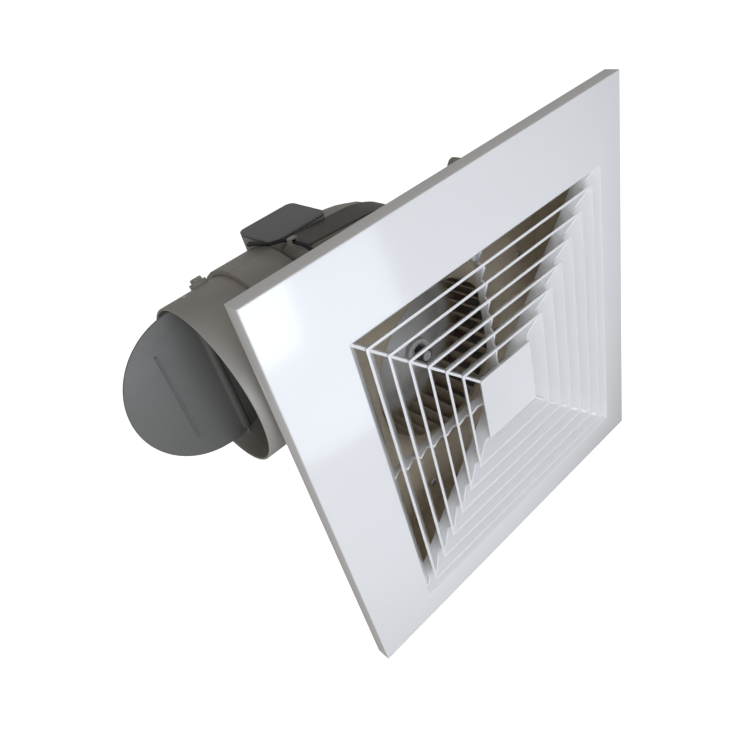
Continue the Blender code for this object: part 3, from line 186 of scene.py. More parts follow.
def lathe(section: Array, turns: int = 96, centre: tuple[float, float, float] = (0, 0, 0),
          axis: Axis = Axis.Y, looped: bool = True) -> Patch:
    """Turns a section about an axis: (r cos t, r sin t, along).

    Args:
        section: (radius, along) pairs of shape (m, 2).
        turns: steps round the axis.
        centre: a point on the axis.
        axis: the axis to turn about.
        looped: whether the section closes on itself. Otherwise it starts and ends on the axis.

    Returns:
        The surface.
    """
    angle = np.radians(360.0 * np.arange(turns) / turns)[:, None]
    radius, along = section[:, 0][None], section[:, 1][None]
    axes = np.stack([radius * np.cos(angle), radius * np.sin(angle),
                     np.broadcast_to(along, (len(angle), len(section)))], axis=-1)
    points = axes[..., list(axis.value)] + np.array(centre, float)
    return net(points, True, looped)


def rounded_ring(half_a: float, half_b: float, corner: float,
                 steps: int = 8) -> tuple[Array, Array]:
    """A rounded rectangle as corner centres plus outward directions.

    Args:
        half_a: half its first side.
        half_b: half its second side.
        corner: radius of its corners.
        steps: points on each corner.

    Returns:
        The centres and the unit directions, each of shape (4 * steps, 2), so that
        centre + corner * direction is the outline.
    """
    angle = np.radians(np.linspace(0, 90, steps)[None] + 90 * np.arange(4)[:, None]).reshape(-1)
    direction = np.stack([np.cos(angle), np.sin(angle)], axis=-1)
    signs = np.repeat(np.array([(1, 1), (-1, 1), (-1, -1), (1, -1)]), steps, axis=0)
    centre = signs * np.array([half_a - corner, half_b - corner])
    return centre, direction


def slab(half_a: float, half_b: float, low: float, high: float, corner: float,
         edge: float, steps: int = 6) -> Patch:
    """A rounded block whose top and bottom edges are eased by quarter circles.

    At each height the outline is the rounded rectangle drawn in by e (1 - sin t), where t runs
    over the quarter circle of radius e.

    Args:
        half_a: half its side along X.
        half_b: half its side along Y.
        low: its bottom.
        high: its top.
        corner: radius of the upright edges.
        edge: radius of the top and bottom edges.
        steps: points on each quarter circle.

    Returns:
        The closed surface, standing along Z.
    """
    centre, direction = rounded_ring(half_a, half_b, corner)
    quarter = np.linspace(0, math.pi / 2, steps)
    inset = edge * (1 - np.sin(quarter))
    rise = edge * (1 - np.cos(quarter))
    drawn_in = np.concatenate([inset, inset[::-1]])
    height = np.concatenate([low + rise, (high - rise)[::-1]])
    flat = centre[None] + direction[None] * (corner - drawn_in)[:, None, None]
    upright = np.broadcast_to(height[:, None, None], (*flat.shape[:2], 1))
    return capped(np.concatenate([flat, upright], axis=-1))


def around_square(section: Array) -> Patch:
    """Carries a section round a square with mitred corners: x and z are the half side.

    Args:
        section: (half side, y) pairs of a closed section.

    Returns:
        The closed surface.
    """
    signs = np.array([(1, 1), (-1, 1), (-1, -1), (1, -1)])
    flat = signs[:, None] * section[:, 0][None, :, None]
    depth = np.broadcast_to(section[:, 1][None], flat.shape[:2])
    return net(np.stack([flat[..., 0], depth, flat[..., 1]], axis=-1))


def curve_through(knots: Array, per_span: int) -> Array:
    """Points on the smooth curve through knots, whose slope at each is half the step across it.

    Args:
        knots: array of shape (n, 3).
        per_span: points between two knots.

    Returns:
        Points of shape ((n - 1) * per_span + 1, 3).
    """
    padded = np.concatenate([2 * knots[:1] - knots[1:2], knots, 2 * knots[-1:] - knots[-2:-1]])
    a, b, c, d = (padded[i:len(padded) - 3 + i, None] for i in range(4))
    t = (np.arange(per_span) / per_span)[None, :, None]
    spans = 0.5 * (2 * b + (c - a) * t + (2 * a - 5 * b + 4 * c - d) * t ** 2
                   + (3 * b - a - 3 * c + d) * t ** 3)
    return np.concatenate([spans.reshape(-1, 3), knots[-1:]])


def along_path(path: Array, radius: float, ring: int = 14) -> Patch:
    """A round wire along a path: path + r (cos t side + sin t other).

    side is the part of one slanting direction that lies across the path, and other is across
    both.

    Args:
        path: points of shape (n, 3).
        radius: the wire's radius.
        ring: points round the wire.

    Returns:
        The closed surface.
    """
    tangent = np.gradient(path, axis=0)
    tangent /= np.linalg.norm(tangent, axis=1, keepdims=True)
    slant = np.array([0.36, 0.48, 0.80])
    side = slant - (tangent @ slant)[:, None] * tangent
    side /= np.linalg.norm(side, axis=1, keepdims=True)
    other = np.cross(tangent, side)
    angle = (2 * math.pi * np.arange(ring) / ring)[None, :, None]
    offset = np.cos(angle) * side[:, None] + np.sin(angle) * other[:, None]
    return capped(path[:, None] + radius * offset)


def polar(radius: float, degrees: float, y: float) -> Array:
    """The point at a radius and an angle about the fan's axis."""
    angle = math.radians(degrees)
    return np.array([radius * math.cos(angle), y, radius * math.sin(angle)])


# --- Meshes and pieces ---------------------------------------------------------------------------


def mesh_object(name: str, patches: Sequence[Patch], crease: float = 32.0) -> bpy.types.Object:
    """Puts closed patches into one mesh, merges their seams and poles and faces them outwards.

    Args:
        name: the object's name.
        patches: its closed surfaces.
        crease: degrees past which an edge is shaded sharp.

    Returns:
        The object, linked to the scene.
    """
    counts = np.cumsum([0] + [len(p.points) for p in patches])
    points = np.concatenate([p.points for p in patches]).astype(np.float32)
    quads = np.concatenate([p.quads + shift for p, shift in zip(patches, counts)])
    mesh = bpy.data.meshes.new(name)
    mesh.vertices.add(len(points))
    mesh.vertices.foreach_set("co", points.ravel())
    mesh.loops.add(quads.size)
    mesh.loops.foreach_set("vertex_index", quads.astype(np.int32).ravel())
    mesh.polygons.add(len(quads))
    mesh.polygons.foreach_set("loop_start", np.arange(0, quads.size, 4, dtype=np.int32))
    mesh.update(calc_edges=True)
    bm = bmesh.new()
    bm.from_mesh(mesh)
    bmesh.ops.remove_doubles(bm, verts=bm.verts, dist=1e-6)
    bmesh.ops.dissolve_degenerate(bm, edges=bm.edges, dist=1e-6)
    bmesh.ops.recalc_face_normals(bm, faces=bm.faces)
    bm.to_mesh(mesh)
    bm.free()
    obj = bpy.data.objects.new(name, mesh)
    bpy.context.scene.collection.objects.link(obj)
    shade(obj, crease)
    return obj


def shade(obj: bpy.types.Object, crease: float) -> None:
    """Shades a mesh smooth, with its edges past an angle sharp.

    Args:
        obj: a mesh object.
        crease: the angle in degrees.
    """
    obj.data.shade_smooth()
    obj.data.set_sharp_from_angle(angle=math.radians(crease))


def carve(obj: bpy.types.Object, cutter: bpy.types.Object, crease: float = 32.0) -> None:
    """Cuts one closed mesh out of another and removes the cutter.

    Args:
        obj: what is cut.
        cutter: the shape to take away.
        crease: degrees past which an edge is shaded sharp afterwards.
    """
    cut = obj.modifiers.new("cut", "BOOLEAN")
    cut.operation = "DIFFERENCE"
    cut.solver = "MANIFOLD"
    cut.object = cutter
    graph = bpy.context.evaluated_depsgraph_get()
    mesh = bpy.data.meshes.new_from_object(obj.evaluated_get(graph))
    obj.modifiers.clear()
    obj.data = mesh
    bpy.data.objects.remove(cutter)
    shade(obj, crease)


def settle(obj: bpy.types.Object, finish: bpy.types.Material, body: Body, slot: Slot,
           *nodes: str) -> bpy.types.Object:
    """Gives a piece its material and its CAD body, and hides the CAD nodes it stands for.

    Args:
        obj: the piece.
        finish: its material.
        body: the body it moves with.
        slot: the record's slot it takes its finish from; not used.
        *nodes: the CAD nodes it replaces.

    Returns:
        The piece.
    """
    obj.data.materials.clear()
    obj.data.materials.append(finish)
    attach(obj, body.value)
    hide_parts(*nodes)
    LOG.info("%s: %d faces, stands for %s", obj.name, len(obj.data.polygons), ", ".join(nodes))
    return obj


# --- Shader bench --------------------------------------------------------------------------------


class Signal:
    """A single value in a material, which adds, multiplies and compares like a number."""

    def __init__(self, bench: "Bench", socket: bpy.types.NodeSocket) -> None:
        """Wraps an output socket of a bench's material."""
        self.bench = bench
        self.socket = socket

    def maths(self, operation: str, *values: "Signal | Number") -> "Signal":
        """A Math node fed by these values in order."""
        return self.bench.maths(operation, *values)

    def __add__(self, other: "Signal | Number") -> "Signal":
        """self + other."""
        return self.maths("ADD", self, other)

    __radd__ = __add__

    def __mul__(self, other: "Signal | Number") -> "Signal":
        """self * other."""
        return self.maths("MULTIPLY", self, other)

    __rmul__ = __mul__

    def __sub__(self, other: "Signal | Number") -> "Signal":
        """self - other."""
        return self.maths("SUBTRACT", self, other)

    def __rsub__(self, other: "Signal | Number") -> "Signal":
        """other - self."""
        return self.maths("SUBTRACT", other, self)

    def __truediv__(self, other: "Signal | Number") -> "Signal":
        """self / other."""
        return self.maths("DIVIDE", self, other)

    def __rtruediv__(self, other: "Signal | Number") -> "Signal":
        """other / self."""
        return self.maths("DIVIDE", other, self)

    def __pow__(self, other: "Signal | Number") -> "Signal":
        """self to the power of other."""
        return self.maths("POWER", self, other)

    def __abs__(self) -> "Signal":
        """The size of self."""
        return self.maths("ABSOLUTE", self)

    def most(self, other: "Signal | Number") -> "Signal":
        """The larger of self and other."""
        return self.maths("MAXIMUM", self, other)

    def step(self, low: float, high: float) -> "Signal":
        """0 below low, 1 above high, and smooth between them.

        Args:
            low: where it starts to rise.
            high: where it is 1.

        Returns:
            The stepped value.
        """
        node = self.bench.node("ShaderNodeMapRange", {"interpolation_type": "SMOOTHSTEP"},
                               {"Value": self, "From Min": low, "From Max": high})
        return Signal(self.bench, node.outputs["Result"])


class Bench:
    """One material while it is being made: a Principled shader and what feeds it."""

    def __init__(self, name: str) -> None:
        """Starts a material whose tree holds only the shader and the output."""
        self.material = bpy.data.materials.new(name)
        self.material.use_nodes = True
        self.tree = self.material.node_tree
        self.shader = self.tree.nodes["Principled BSDF"]

    def node(self, kind: str, settings: dict | None = None,
             sockets: dict | None = None) -> bpy.types.Node:
        """Adds any node.

        Args:
            kind: Blender's node type.
            settings: the node's own settings.
            sockets: a value, a Signal or an output socket for inputs by name or number.

        Returns:
            The node.
        """
        made = self.tree.nodes.new(kind)
        for key, value in (settings or {}).items():
            setattr(made, key, value)
        for key, value in (sockets or {}).items():
            self.feed(made.inputs[key], value)
        return made

    def feed(self, target: bpy.types.NodeSocket, value: object) -> None:
        """Links a signal or a socket to an input, or sets a plain value on it.

        Args:
            target: the input.
            value: what it gets.
        """
        if isinstance(value, Signal):
            value = value.socket
        if isinstance(value, bpy.types.NodeSocket):
            self.tree.links.new(value, target)
        elif target.type == "RGBA" and len(value) == 3:
            target.default_value = (*value, 1.0)
        else:
            target.default_value = value

    def maths(self, operation: str, *values: "Signal | Number") -> Signal:
        """A Math node.

        Args:
            operation: Blender's name of the operation.
            *values: its inputs in order.

        Returns:
            Its result.
        """
        made = self.node("ShaderNodeMath", {"operation": operation}, dict(enumerate(values)))
        return Signal(self, made.outputs[0])

    def place(self, stretch: tuple[float, float, float] = (1, 1, 1),
              shift: tuple[float, float, float] = (0, 0, 0)) -> bpy.types.NodeSocket:
        """Object coordinates, shifted and stretched.

        Args:
            stretch: scale along each axis.
            shift: added after scaling.

        Returns:
            The vector socket.
        """
        source = self.node("ShaderNodeTexCoord").outputs["Object"]
        mapped = self.node("ShaderNodeMapping", {}, {"Vector": source, "Scale": stretch,
                                                     "Location": shift})
        return mapped.outputs["Vector"]

    def split(self, vector: bpy.types.NodeSocket) -> list[Signal]:
        """The three parts of a vector."""
        parts = self.node("ShaderNodeSeparateXYZ", {}, {"Vector": vector})
        return [Signal(self, out) for out in parts.outputs]

    def noise(self, scale: float, detail: float = 3.0, roughness: float = 0.5,
              stretch: tuple[float, float, float] = (1, 1, 1)) -> Signal:
        """Cloudy noise in object space, from 0 to 1.

        Args:
            scale: repeats in each metre.
            detail: octaves.
            roughness: weight of the finer octaves.
            stretch: scale along each axis.

        Returns:
            The noise.
        """
        made = self.node("ShaderNodeTexNoise", {}, {"Vector": self.place(stretch), "Scale": scale,
                                                    "Detail": detail, "Roughness": roughness})
        return Signal(self, made.outputs["Fac"])

    def cells(self, scale: float, stretch: tuple[float, float, float] = (1, 1, 1)) -> Signal:
        """Distance to the nearest of scattered points, as on a spark-eroded mould.

        Args:
            scale: repeats in each metre.
            stretch: scale along each axis.

        Returns:
            The distance.
        """
        made = self.node("ShaderNodeTexVoronoi", {}, {"Vector": self.place(stretch),
                                                      "Scale": scale})
        return Signal(self, made.outputs["Distance"])

    def blend(self, share: "Signal | Number", first: object,
              second: object) -> bpy.types.NodeSocket:
        """Mixes two colours.

        Args:
            share: 0 for the first and 1 for the second.
            first: a colour or a colour socket.
            second: a colour or a colour socket.

        Returns:
            The mixed colour's socket.
        """
        made = self.node("ShaderNodeMix", {"data_type": "RGBA"}, {0: share, 6: first, 7: second})
        return made.outputs[2]

    def bump(self, height: Signal, strength: float, distance: float) -> bpy.types.NodeSocket:
        """A normal disturbed by a height.

        Args:
            height: the height.
            strength: how much of it shows.
            distance: metres for a height of 1.

        Returns:
            The normal's socket.
        """
        made = self.node("ShaderNodeBump", {}, {"Height": height, "Strength": strength,
                                                "Distance": distance})
        return made.outputs["Normal"]

    def finish(self, **sockets: object) -> bpy.types.Material:
        """Feeds the shader's inputs by name, with _ for a space, and gives the material."""
        for key, value in sockets.items():
            self.feed(self.shader.inputs[key.replace("_", " ")], value)
        return self.material


@dataclass(frozen=True)
class MouldedPlastic:
    """Injection moulded plastic: colour, tint where it is handled or dusty, and mould texture."""

    name: str
    colour: Colour
    tint: Colour
    roughness: float
    roughness_spread: float = 0.10
    grain: float = 900.0
    grain_depth: float = 0.00002
    wave_depth: float = 0.0
    coat: float = 0.0
    cloud: float = 0.5
    glow: float = 0.0

    def make(self) -> bpy.types.Material:
        """Builds the material.

        Returns:
            The material: flow clouds tint it, speckle roughens it, and fine grain over slow
            waves bumps it.
        """
        bench = Bench(self.name)
        clouds = bench.noise(14.0, 4.0, 0.6)
        streaks = bench.noise(45.0, 3.0, 0.6, (1.0, 0.35, 2.2))
        speckle = bench.noise(420.0, 2.0, 0.7)
        share = (clouds.step(0.35, 0.75) * 0.7 + streaks.step(0.45, 0.8) * 0.3) * self.cloud
        dust_and_shade = speckle.step(0.66, 0.80) * 0.12
        rough = (streaks - 0.5) * self.roughness_spread + dust_and_shade * 0.6 + self.roughness
        height = bench.noise(self.grain, 2.0, 0.6) * self.grain_depth
        height = height + bench.noise(9.0, 1.0, 0.4) * self.wave_depth
        return bench.finish(
            Base_Color=bench.blend(share + dust_and_shade, self.colour, self.tint),
            Roughness=rough, Normal=bench.bump(height, 0.9, 1.0), IOR=1.53,
            Coat_Weight=self.coat, Coat_Roughness=0.08,
            Subsurface_Weight=self.glow, Subsurface_Scale=0.004)


@dataclass(frozen=True)
class WheelPlasticWithPaintedShade:
    """The wheel's white plastic, pale on the hub, with a brown painted shade out among the vanes
    where the gaps between them lie in shade.
    """

    name: str
    colour: Colour
    # painted shade: the brown second colour stands for the shade in the gaps between the vanes;
    # the wheel itself is white
    dust_and_shade: Colour
    unshaded_radius: float
    shaded_radius: float

    def make(self) -> bpy.types.Material:
        """Builds the material.

        Returns:
            The material: the brown painted shade grows with the distance from the Y axis and with
                depth of noise.
        """
        bench = Bench(self.name)
        x, _, z = bench.split(bench.place())
        radius = (x * x + z * z) ** 0.5
        speckle = bench.noise(260.0, 4.0, 0.7)
        # painted shade: from the first radius out to the second the colour turns to the brown
        # shade colour, over the shaded vane ring
        share = (radius + (speckle - 0.5) * 0.004).step(self.unshaded_radius, self.shaded_radius)
        share = share * 0.92 + bench.noise(60.0, 3.0).step(0.45, 0.8) * 0.08
        return bench.finish(Base_Color=bench.blend(share, self.colour, self.dust_and_shade),
                            Roughness=share * 0.35 + 0.32,
                            Normal=bench.bump(speckle * 0.00003, 0.8, 1.0), IOR=1.5)


@dataclass(frozen=True)
class PlatedSteel:
    """Plated or blackened steel with fine drawing lines and dulled patches."""

    name: str
    colour: Colour
    dull: Colour
    roughness: float
    lines: tuple[float, float, float] = (30.0, 900.0, 30.0)

    def make(self) -> bpy.types.Material:
        """Builds the material.

        Returns:
            The material: stretched noise draws the lines, and clouds dull the plating.
        """
        bench = Bench(self.name)
        lines = bench.noise(1.0, 2.0, 0.5, self.lines)
        clouds = bench.noise(120.0, 4.0, 0.65)
        share = clouds.step(0.4, 0.75)
        return bench.finish(Base_Color=bench.blend(share * 0.7, self.colour, self.dull),
                            Metallic=1.0, Roughness=share * 0.22 + lines * 0.12 + self.roughness,
                            Normal=bench.bump(lines * 0.00002 + clouds * 0.00001, 0.6, 1.0))


@dataclass(frozen=True)
class WoundCopper:
    """Enamelled copper wire wound round the motor's axis."""

    name: str
    colour: Colour
    shadow: Colour
    turns_per_metre: float

    def make(self) -> bpy.types.Material:
        """Builds the material.

        Returns:
            The material: the strands are a sine of the distance from the axis and the depth.
        """
        bench = Bench(self.name)
        x, y, z = bench.split(bench.place())
        radius = (x * x + z * z) ** 0.5
        strands = bench.maths("SINE", (radius + y * 0.6) * (6.2832 * self.turns_per_metre))
        share = strands * 0.5 + 0.5
        return bench.finish(Base_Color=bench.blend(share, self.shadow, self.colour), Metallic=0.9,
                            Roughness=0.5 - share * 0.2, Coat_Weight=0.4,
                            Normal=bench.bump(share * 0.00018, 0.8, 1.0))


@dataclass(frozen=True)
class DullRubber:
    """Black rubber or sheathing with a powdery bloom."""

    name: str
    colour: Colour
    bloom: Colour

    def make(self) -> bpy.types.Material:
        """Builds the material.

        Returns:
            The material: bloom comes in clouds over a fine pitted skin.
        """
        bench = Bench(self.name)
        clouds = bench.noise(150.0, 4.0, 0.7)
        pits = bench.cells(2500.0)
        return bench.finish(
            Base_Color=bench.blend(clouds.step(0.45, 0.85) * 0.5, self.colour, self.bloom),
            Roughness=clouds * 0.25 + 0.42, Normal=bench.bump(pits * 0.00003, 0.7, 1.0))


@dataclass(frozen=True)
class RatingFilm:
    """A blank rating plate: pale film with a thin dark border, a heading band and ruled lines."""

    name: str
    colour: Colour
    ink: Colour
    band: Colour
    rules: int = 5

    def make(self) -> bpy.types.Material:
        """Builds the material.

        Returns:
            The material: its lines are steps of the piece's own UV map, u along and v across.
        """
        bench = Bench(self.name)
        u, v, _ = bench.split(bench.node("ShaderNodeUVMap").outputs["UV"])
        edge_u = (abs(u - 0.5)).step(0.470, 0.474) * (1 - (abs(u - 0.5)).step(0.481, 0.485))
        edge_v = (abs(v - 0.5)).step(0.43, 0.44) * (1 - (abs(v - 0.5)).step(0.455, 0.465))
        inside_u = 1 - (abs(u - 0.5)).step(0.481, 0.485)
        inside_v = 1 - (abs(v - 0.5)).step(0.455, 0.465)
        border = (edge_u * inside_v).most(edge_v * inside_u)
        heading = v.step(0.72, 0.73) * (1 - v.step(0.86, 0.87))
        heading = heading * (1 - (abs(u - 0.5)).step(0.40, 0.405))
        ruled = bench.maths("FRACT", v * (self.rules * 1.55))
        rule = ruled.step(0.42, 0.46) * (1 - ruled.step(0.52, 0.56))
        rule = rule * (1 - v.step(0.66, 0.67)) * (1 - (abs(u - 0.5)).step(0.42, 0.425))
        print_share = border.most(rule * 0.55)
        colour = bench.blend(heading * 0.6, self.colour, self.band)
        scuffs = bench.noise(220.0, 4.0, 0.6)
        return bench.finish(Base_Color=bench.blend(print_share, colour, self.ink),
                            Roughness=scuffs * 0.25 + 0.28, Coat_Weight=0.15,
                            Normal=bench.bump(scuffs * 0.00002, 0.6, 1.0))


@dataclass
class Finishes:
    """Every finish of the fan, made once."""

    grille: bpy.types.Material = field(default_factory=lambda: MouldedPlastic(
        "grille_gloss_abs", (0.88, 0.87, 0.855), (0.85, 0.84, 0.82), 0.15, 0.08, 1400.0, 0.000006,
        0.00025, 0.35, 0.6).make())
    # painted shade: the white housing plastic is given a dark warm grey, in both colours, that
    # stands for the shade the housing sits in behind the grille
    casing: bpy.types.Material = field(default_factory=lambda: MouldedPlastic(
        "casing_abs_painted_shade", (0.42, 0.395, 0.355), (0.36, 0.335, 0.30), 0.38, 0.14, 1100.0, 0.00002,
        0.0004, 0.0, 0.8, 0.05).make())
    # painted shade: the white plastic of the inlet ring and mounting frame is given a warm tan
    # that stands for its warm shade behind the louvres
    inlet: bpy.types.Material = field(default_factory=lambda: MouldedPlastic(
        "inlet_abs_painted_warm_shade", (0.84, 0.74, 0.58), (0.70, 0.60, 0.46), 0.46, 0.14, 1000.0, 0.00002,
        0.0003, 0.0, 0.9).make())
    # painted shade: the flap is given a near-black that stands for the shade inside the spigot
    damper: bpy.types.Material = field(default_factory=lambda: MouldedPlastic(
        "damper_plastic", (0.150, 0.150, 0.135), (0.125, 0.125, 0.113),
        0.46, 0.12, 1300.0, 0.00002,
        0.0002, 0.0, 0.8, 0.05).make())
    # painted shade: the lid is given a dark grey that stands for the shade on the box's top
    lid: bpy.types.Material = field(default_factory=lambda: MouldedPlastic(
        "box_lid_abs_painted_shade", (0.21, 0.21, 0.215), (0.18, 0.18, 0.185), 0.42, 0.12, 1200.0, 0.00002,
        0.0003, 0.0, 0.8).make())
    # painted shade: the wheel's brown second colour stands for the shade among the vanes
    wheel: bpy.types.Material = field(default_factory=lambda: WheelPlasticWithPaintedShade(
        "wheel_plastic_painted_shade", (0.86, 0.85, 0.82), (0.52, 0.42, 0.28), 0.056, 0.066).make())
    bright: bpy.types.Material = field(default_factory=lambda: PlatedSteel(
        "bright_plated_steel", (0.78, 0.78, 0.80), (0.55, 0.55, 0.56), 0.16).make())
    zinc: bpy.types.Material = field(default_factory=lambda: PlatedSteel(
        "zinc_plated_steel", (0.62, 0.63, 0.66), (0.48, 0.49, 0.50), 0.30,
        (60.0, 60.0, 800.0)).make())
    dark: bpy.types.Material = field(default_factory=lambda: PlatedSteel(
        "blackened_steel", (0.10, 0.10, 0.11), (0.20, 0.19, 0.18), 0.28).make())
    core: bpy.types.Material = field(default_factory=lambda: PlatedSteel(
        "stacked_core_steel", (0.26, 0.26, 0.28), (0.18, 0.16, 0.15), 0.36,
        (20.0, 2200.0, 20.0)).make())
    copper: bpy.types.Material = field(default_factory=lambda: WoundCopper(
        "enamelled_copper", (0.80, 0.38, 0.17), (0.28, 0.10, 0.05), 1400.0).make())
    rubber: bpy.types.Material = field(default_factory=lambda: DullRubber(
        "black_rubber", (0.012, 0.012, 0.013), (0.05, 0.05, 0.05)).make())
    label: bpy.types.Material = field(default_factory=lambda: RatingFilm(
        "rating_film", (0.075, 0.072, 0.066), (0.010, 0.010, 0.010), (0.085, 0.035, 0.03)).make())


# --- Sub-assemblies ------------------------------------------------------------------------------


@dataclass
class Grille:
    """The square front grille: sloping border, six mitred blade rings, centre plate and webs."""

    finish: bpy.types.Material
    half: float = 0.150
    skirt: float = 0.011
    wall: float = 0.0024
    crest_half: float = 0.1076
    crest_y: float = -0.0235
    back_y: float = -0.0085
    lean: float = 0.8
    blade: float = 0.0020
    pitch: float = 0.0120
    rings: int = 6
    plate_half: float = 0.0255
    rim: float = 0.0011
    rim_height: float = 0.0008
    plate_thickness: float = 0.0025
    web: float = 0.0016
    web_front: float = -0.0225
    web_back: float = -0.0091
    rib_front: float = -0.0165
    rib_back: float = -0.0088
    rib_dip: float = 0.0045
    web_dip: float = 0.0060
    boss_at: float = 0.0971
    boss: tuple[float, float] = (0.003, 0.002)
    boss_y: tuple[float, float] = (-0.0115, -0.0035)

    def leaning(self, half: float, y: float) -> float:
        """Half side, at depth y, of a wall that is half at the crest and leans inwards."""
        return half - self.lean * (y - self.crest_y)

    def border(self) -> Patch:
        """The frame round the louvres: skirt, slope, crest and inner lip.

        Returns:
            Its rounded section carried round the square, with mitred corners.
        """
        inner = self.half - self.wall
        lip = self.leaning(self.crest_half, self.back_y)
        foot = -self.skirt + 0.0017
        lip_out = self.crest_half + self.blade
        under_half = (lip_out - self.crest_half) * 0.03 + self.crest_half
        under_y = self.crest_y + (lip_out - under_half) / self.lean
        return around_square(fillet([
            (self.half, -0.0002, 0.0002), (self.half, -self.skirt, 0.0009),
            (self.crest_half, self.crest_y, 0.0008), (lip, self.back_y, 0.0003),
            (lip + self.blade, self.back_y, 0.0003), (under_half, under_y, 0.0003),
            (inner, foot, 0.0006), (inner, -0.0002, 0.0002)], 6))

    def blades(self) -> list[Patch]:
        """The blade rings, each a leaning strip with eased edges carried round a square.

        Returns:
            One surface for each ring.
        """
        front = self.crest_half + self.blade - self.pitch * (1 + np.arange(self.rings))
        made = []
        for half in front:
            back = self.leaning(half, self.back_y)
            made.append(around_square(fillet([
                (half, self.crest_y, 0.0002), (half + self.blade, self.crest_y, 0.0002),
                (back + self.blade, self.back_y, 0.0003), (back, self.back_y, 0.0003)], 5)))
        return made

    def plate(self) -> Patch:
        """The centre plate with its thin raised rim and leaning skirt.

        Returns:
            A section from the middle outwards and back, carried round the square.
        """
        face = self.crest_y + self.rim_height
        under = face + self.plate_thickness
        inner = self.plate_half - self.blade
        section = fillet([
            (0.00002, face, 0.00001), (self.plate_half - self.rim, face, 0.0003),
            (self.plate_half - self.rim, self.crest_y, 0.0002),
            (self.plate_half, self.crest_y, 0.0004),
            (self.leaning(self.plate_half, self.back_y), self.back_y, 0.0003),
            (self.leaning(inner, self.back_y), self.back_y, 0.0003),
            (self.leaning(inner, under), under, 0.0004), (0.00002, under, 0.00001)], 5)
        return around_square(section)

    def strip(self, degrees: float, stretch: float, front: float, back: float) -> Patch:
        """One flat web from the plate to the border.

        Its ends lean like the blades, so that every depth starts on the plate's skirt and stops
        on the border's lip.

        Args:
            degrees: its direction seen from the room.
            stretch: 1 for a rib across the sides, and the square root of 2 for a corner web.
            front: depth of its front edge.
            back: depth of its back edge.

        Returns:
            The closed surface.
        """
        near = stretch * (self.leaning(self.plate_half, front) - self.blade / 2)
        near_back = stretch * (self.leaning(self.plate_half, back) - self.blade / 2)
        far = stretch * (self.leaning(self.crest_half, front) + self.blade / 2)
        far_back = stretch * (self.leaning(self.crest_half, back) + self.blade / 2)
        across = fillet([(-self.web / 2, 0, 0.0003), (self.web / 2, 0, 0.0003),
                         (self.web / 2, 1, 0.0001), (-self.web / 2, 1, 0.0001)], 4)
        depth = front + np.clip(across[:, 1], 0, 1) * (back - front)
        share = (depth - front) / (back - front)
        steps = np.linspace(0, 1, 12)[:, None]
        start = near + (near_back - near) * share
        stop = far + (far_back - far) * share
        along = start[None] + (stop - start)[None] * steps
        side = np.broadcast_to(across[:, 0][None], along.shape)
        angle = math.radians(degrees)
        points = np.stack([along * math.cos(angle) - side * math.sin(angle),
                           np.broadcast_to(depth[None], along.shape),
                           along * math.sin(angle) + side * math.cos(angle)], axis=-1)
        return capped(points)

    def notched(self, degrees: float, stretch: float, front: float, back: float,
                dip: float) -> list[Patch]:
        """The short ribs that cross the slots in one direction, one for each slot.

        Each rib's front edge is a V between two blades: front + dip (1 - |2 t - 1|), where t runs
        from blade to blade. The dip is deepest by the border and shallower towards the plate.

        Args:
            degrees: its direction seen from the room.
            stretch: 1 across the sides, and the square root of 2 along a corner.
            front: depth of its front edge beside a blade.
            back: depth of its back edge.
            dip: how deep the V is by the border.

        Returns:
            One closed surface for each slot.
        """
        t = np.linspace(0, 1, 9)
        angle = math.radians(degrees)
        made = []
        for slot in range(self.rings + 1):
            outer = self.crest_half + self.blade / 2 - self.pitch * slot
            notch = dip * (1 - slot / (self.rings + 3))
            ridge = front + notch * (1 - np.abs(2 * t - 1))
            rear = np.full_like(t, back)
            depth = np.stack([ridge, ridge, rear, rear], axis=-1)
            side = np.broadcast_to(np.array([-1, 1, 1, -1]) * self.web / 2, depth.shape)
            start = self.leaning(outer - self.pitch, depth)
            along = stretch * (start + self.pitch * t[:, None])
            made.append(capped(np.stack([along * math.cos(angle) - side * math.sin(angle), depth,
                                         along * math.sin(angle) + side * math.cos(angle)],
                                        axis=-1)))
        return made

    def bosses(self) -> list[Patch]:
        """The two small blocks behind the border that hold the springs."""
        low, high = self.boss_y
        block = slab(self.boss[0], self.boss[1], low, high, 0.0005, 0.0004)
        stand = Matrix(((1, 0, 0, 0), (0, 0, 1, 0), (0, -1, 0, 0), (0, 0, 0, 1)))
        return [block.moved(Matrix.Translation((0, 0, side * self.boss_at)) @ stand)
                for side in (-1, 1)]

    def build(self) -> bpy.types.Object:
        """Builds and dresses the grille.

        Returns:
            The object.
        """
        corner = math.sqrt(2)
        webs = [self.strip(135, corner, self.web_front, self.web_back)]
        webs += [web for degrees in (45, 225, 315) for web in self.notched(
            degrees, corner, self.web_front + 0.001, self.web_back, self.web_dip)]
        ribs = [rib for i in range(4) for rib in self.notched(
            90 * i, 1.0, self.rib_front, self.rib_back, self.rib_dip)]
        panel = mesh_object("grille_moulding", [self.border(), *self.blades(), self.plate(),
                                                *webs, *ribs, *self.bosses()], 30.0)
        return settle(panel, self.finish, Body.GRILLE, Slot.GRILLE, "grille_panel")


@dataclass
class Neck:
    """Sizes of the round outlet neck, which several pieces stay clear of or plug into."""

    y: float = 0.0595
    z: float = 0.0786
    bore: float = 0.0522
    radius: float = 0.0552
    tip_x: float = -0.117
    cone_x: float = -0.088
    end_x: float = -0.068
    end_radius: float = 0.024

    def solid(self, name: str, grow: float, tip_x: float) -> bpy.types.Object:
        """The neck's outside grown by a gap, as one closed shape.

        Args:
            name: the object's name.
            grow: how far it is grown.
            tip_x: where its open end is.

        Returns:
            The shape, turned about the neck's axis.
        """
        section = np.array([(0, tip_x), (self.radius + grow, tip_x),
                            (self.radius + grow, self.cone_x),
                            (self.end_radius + grow, self.end_x + grow), (0, self.end_x + grow)])
        return mesh_object(name, [lathe(section, 96, (0, self.y, self.z), Axis.X, False)])


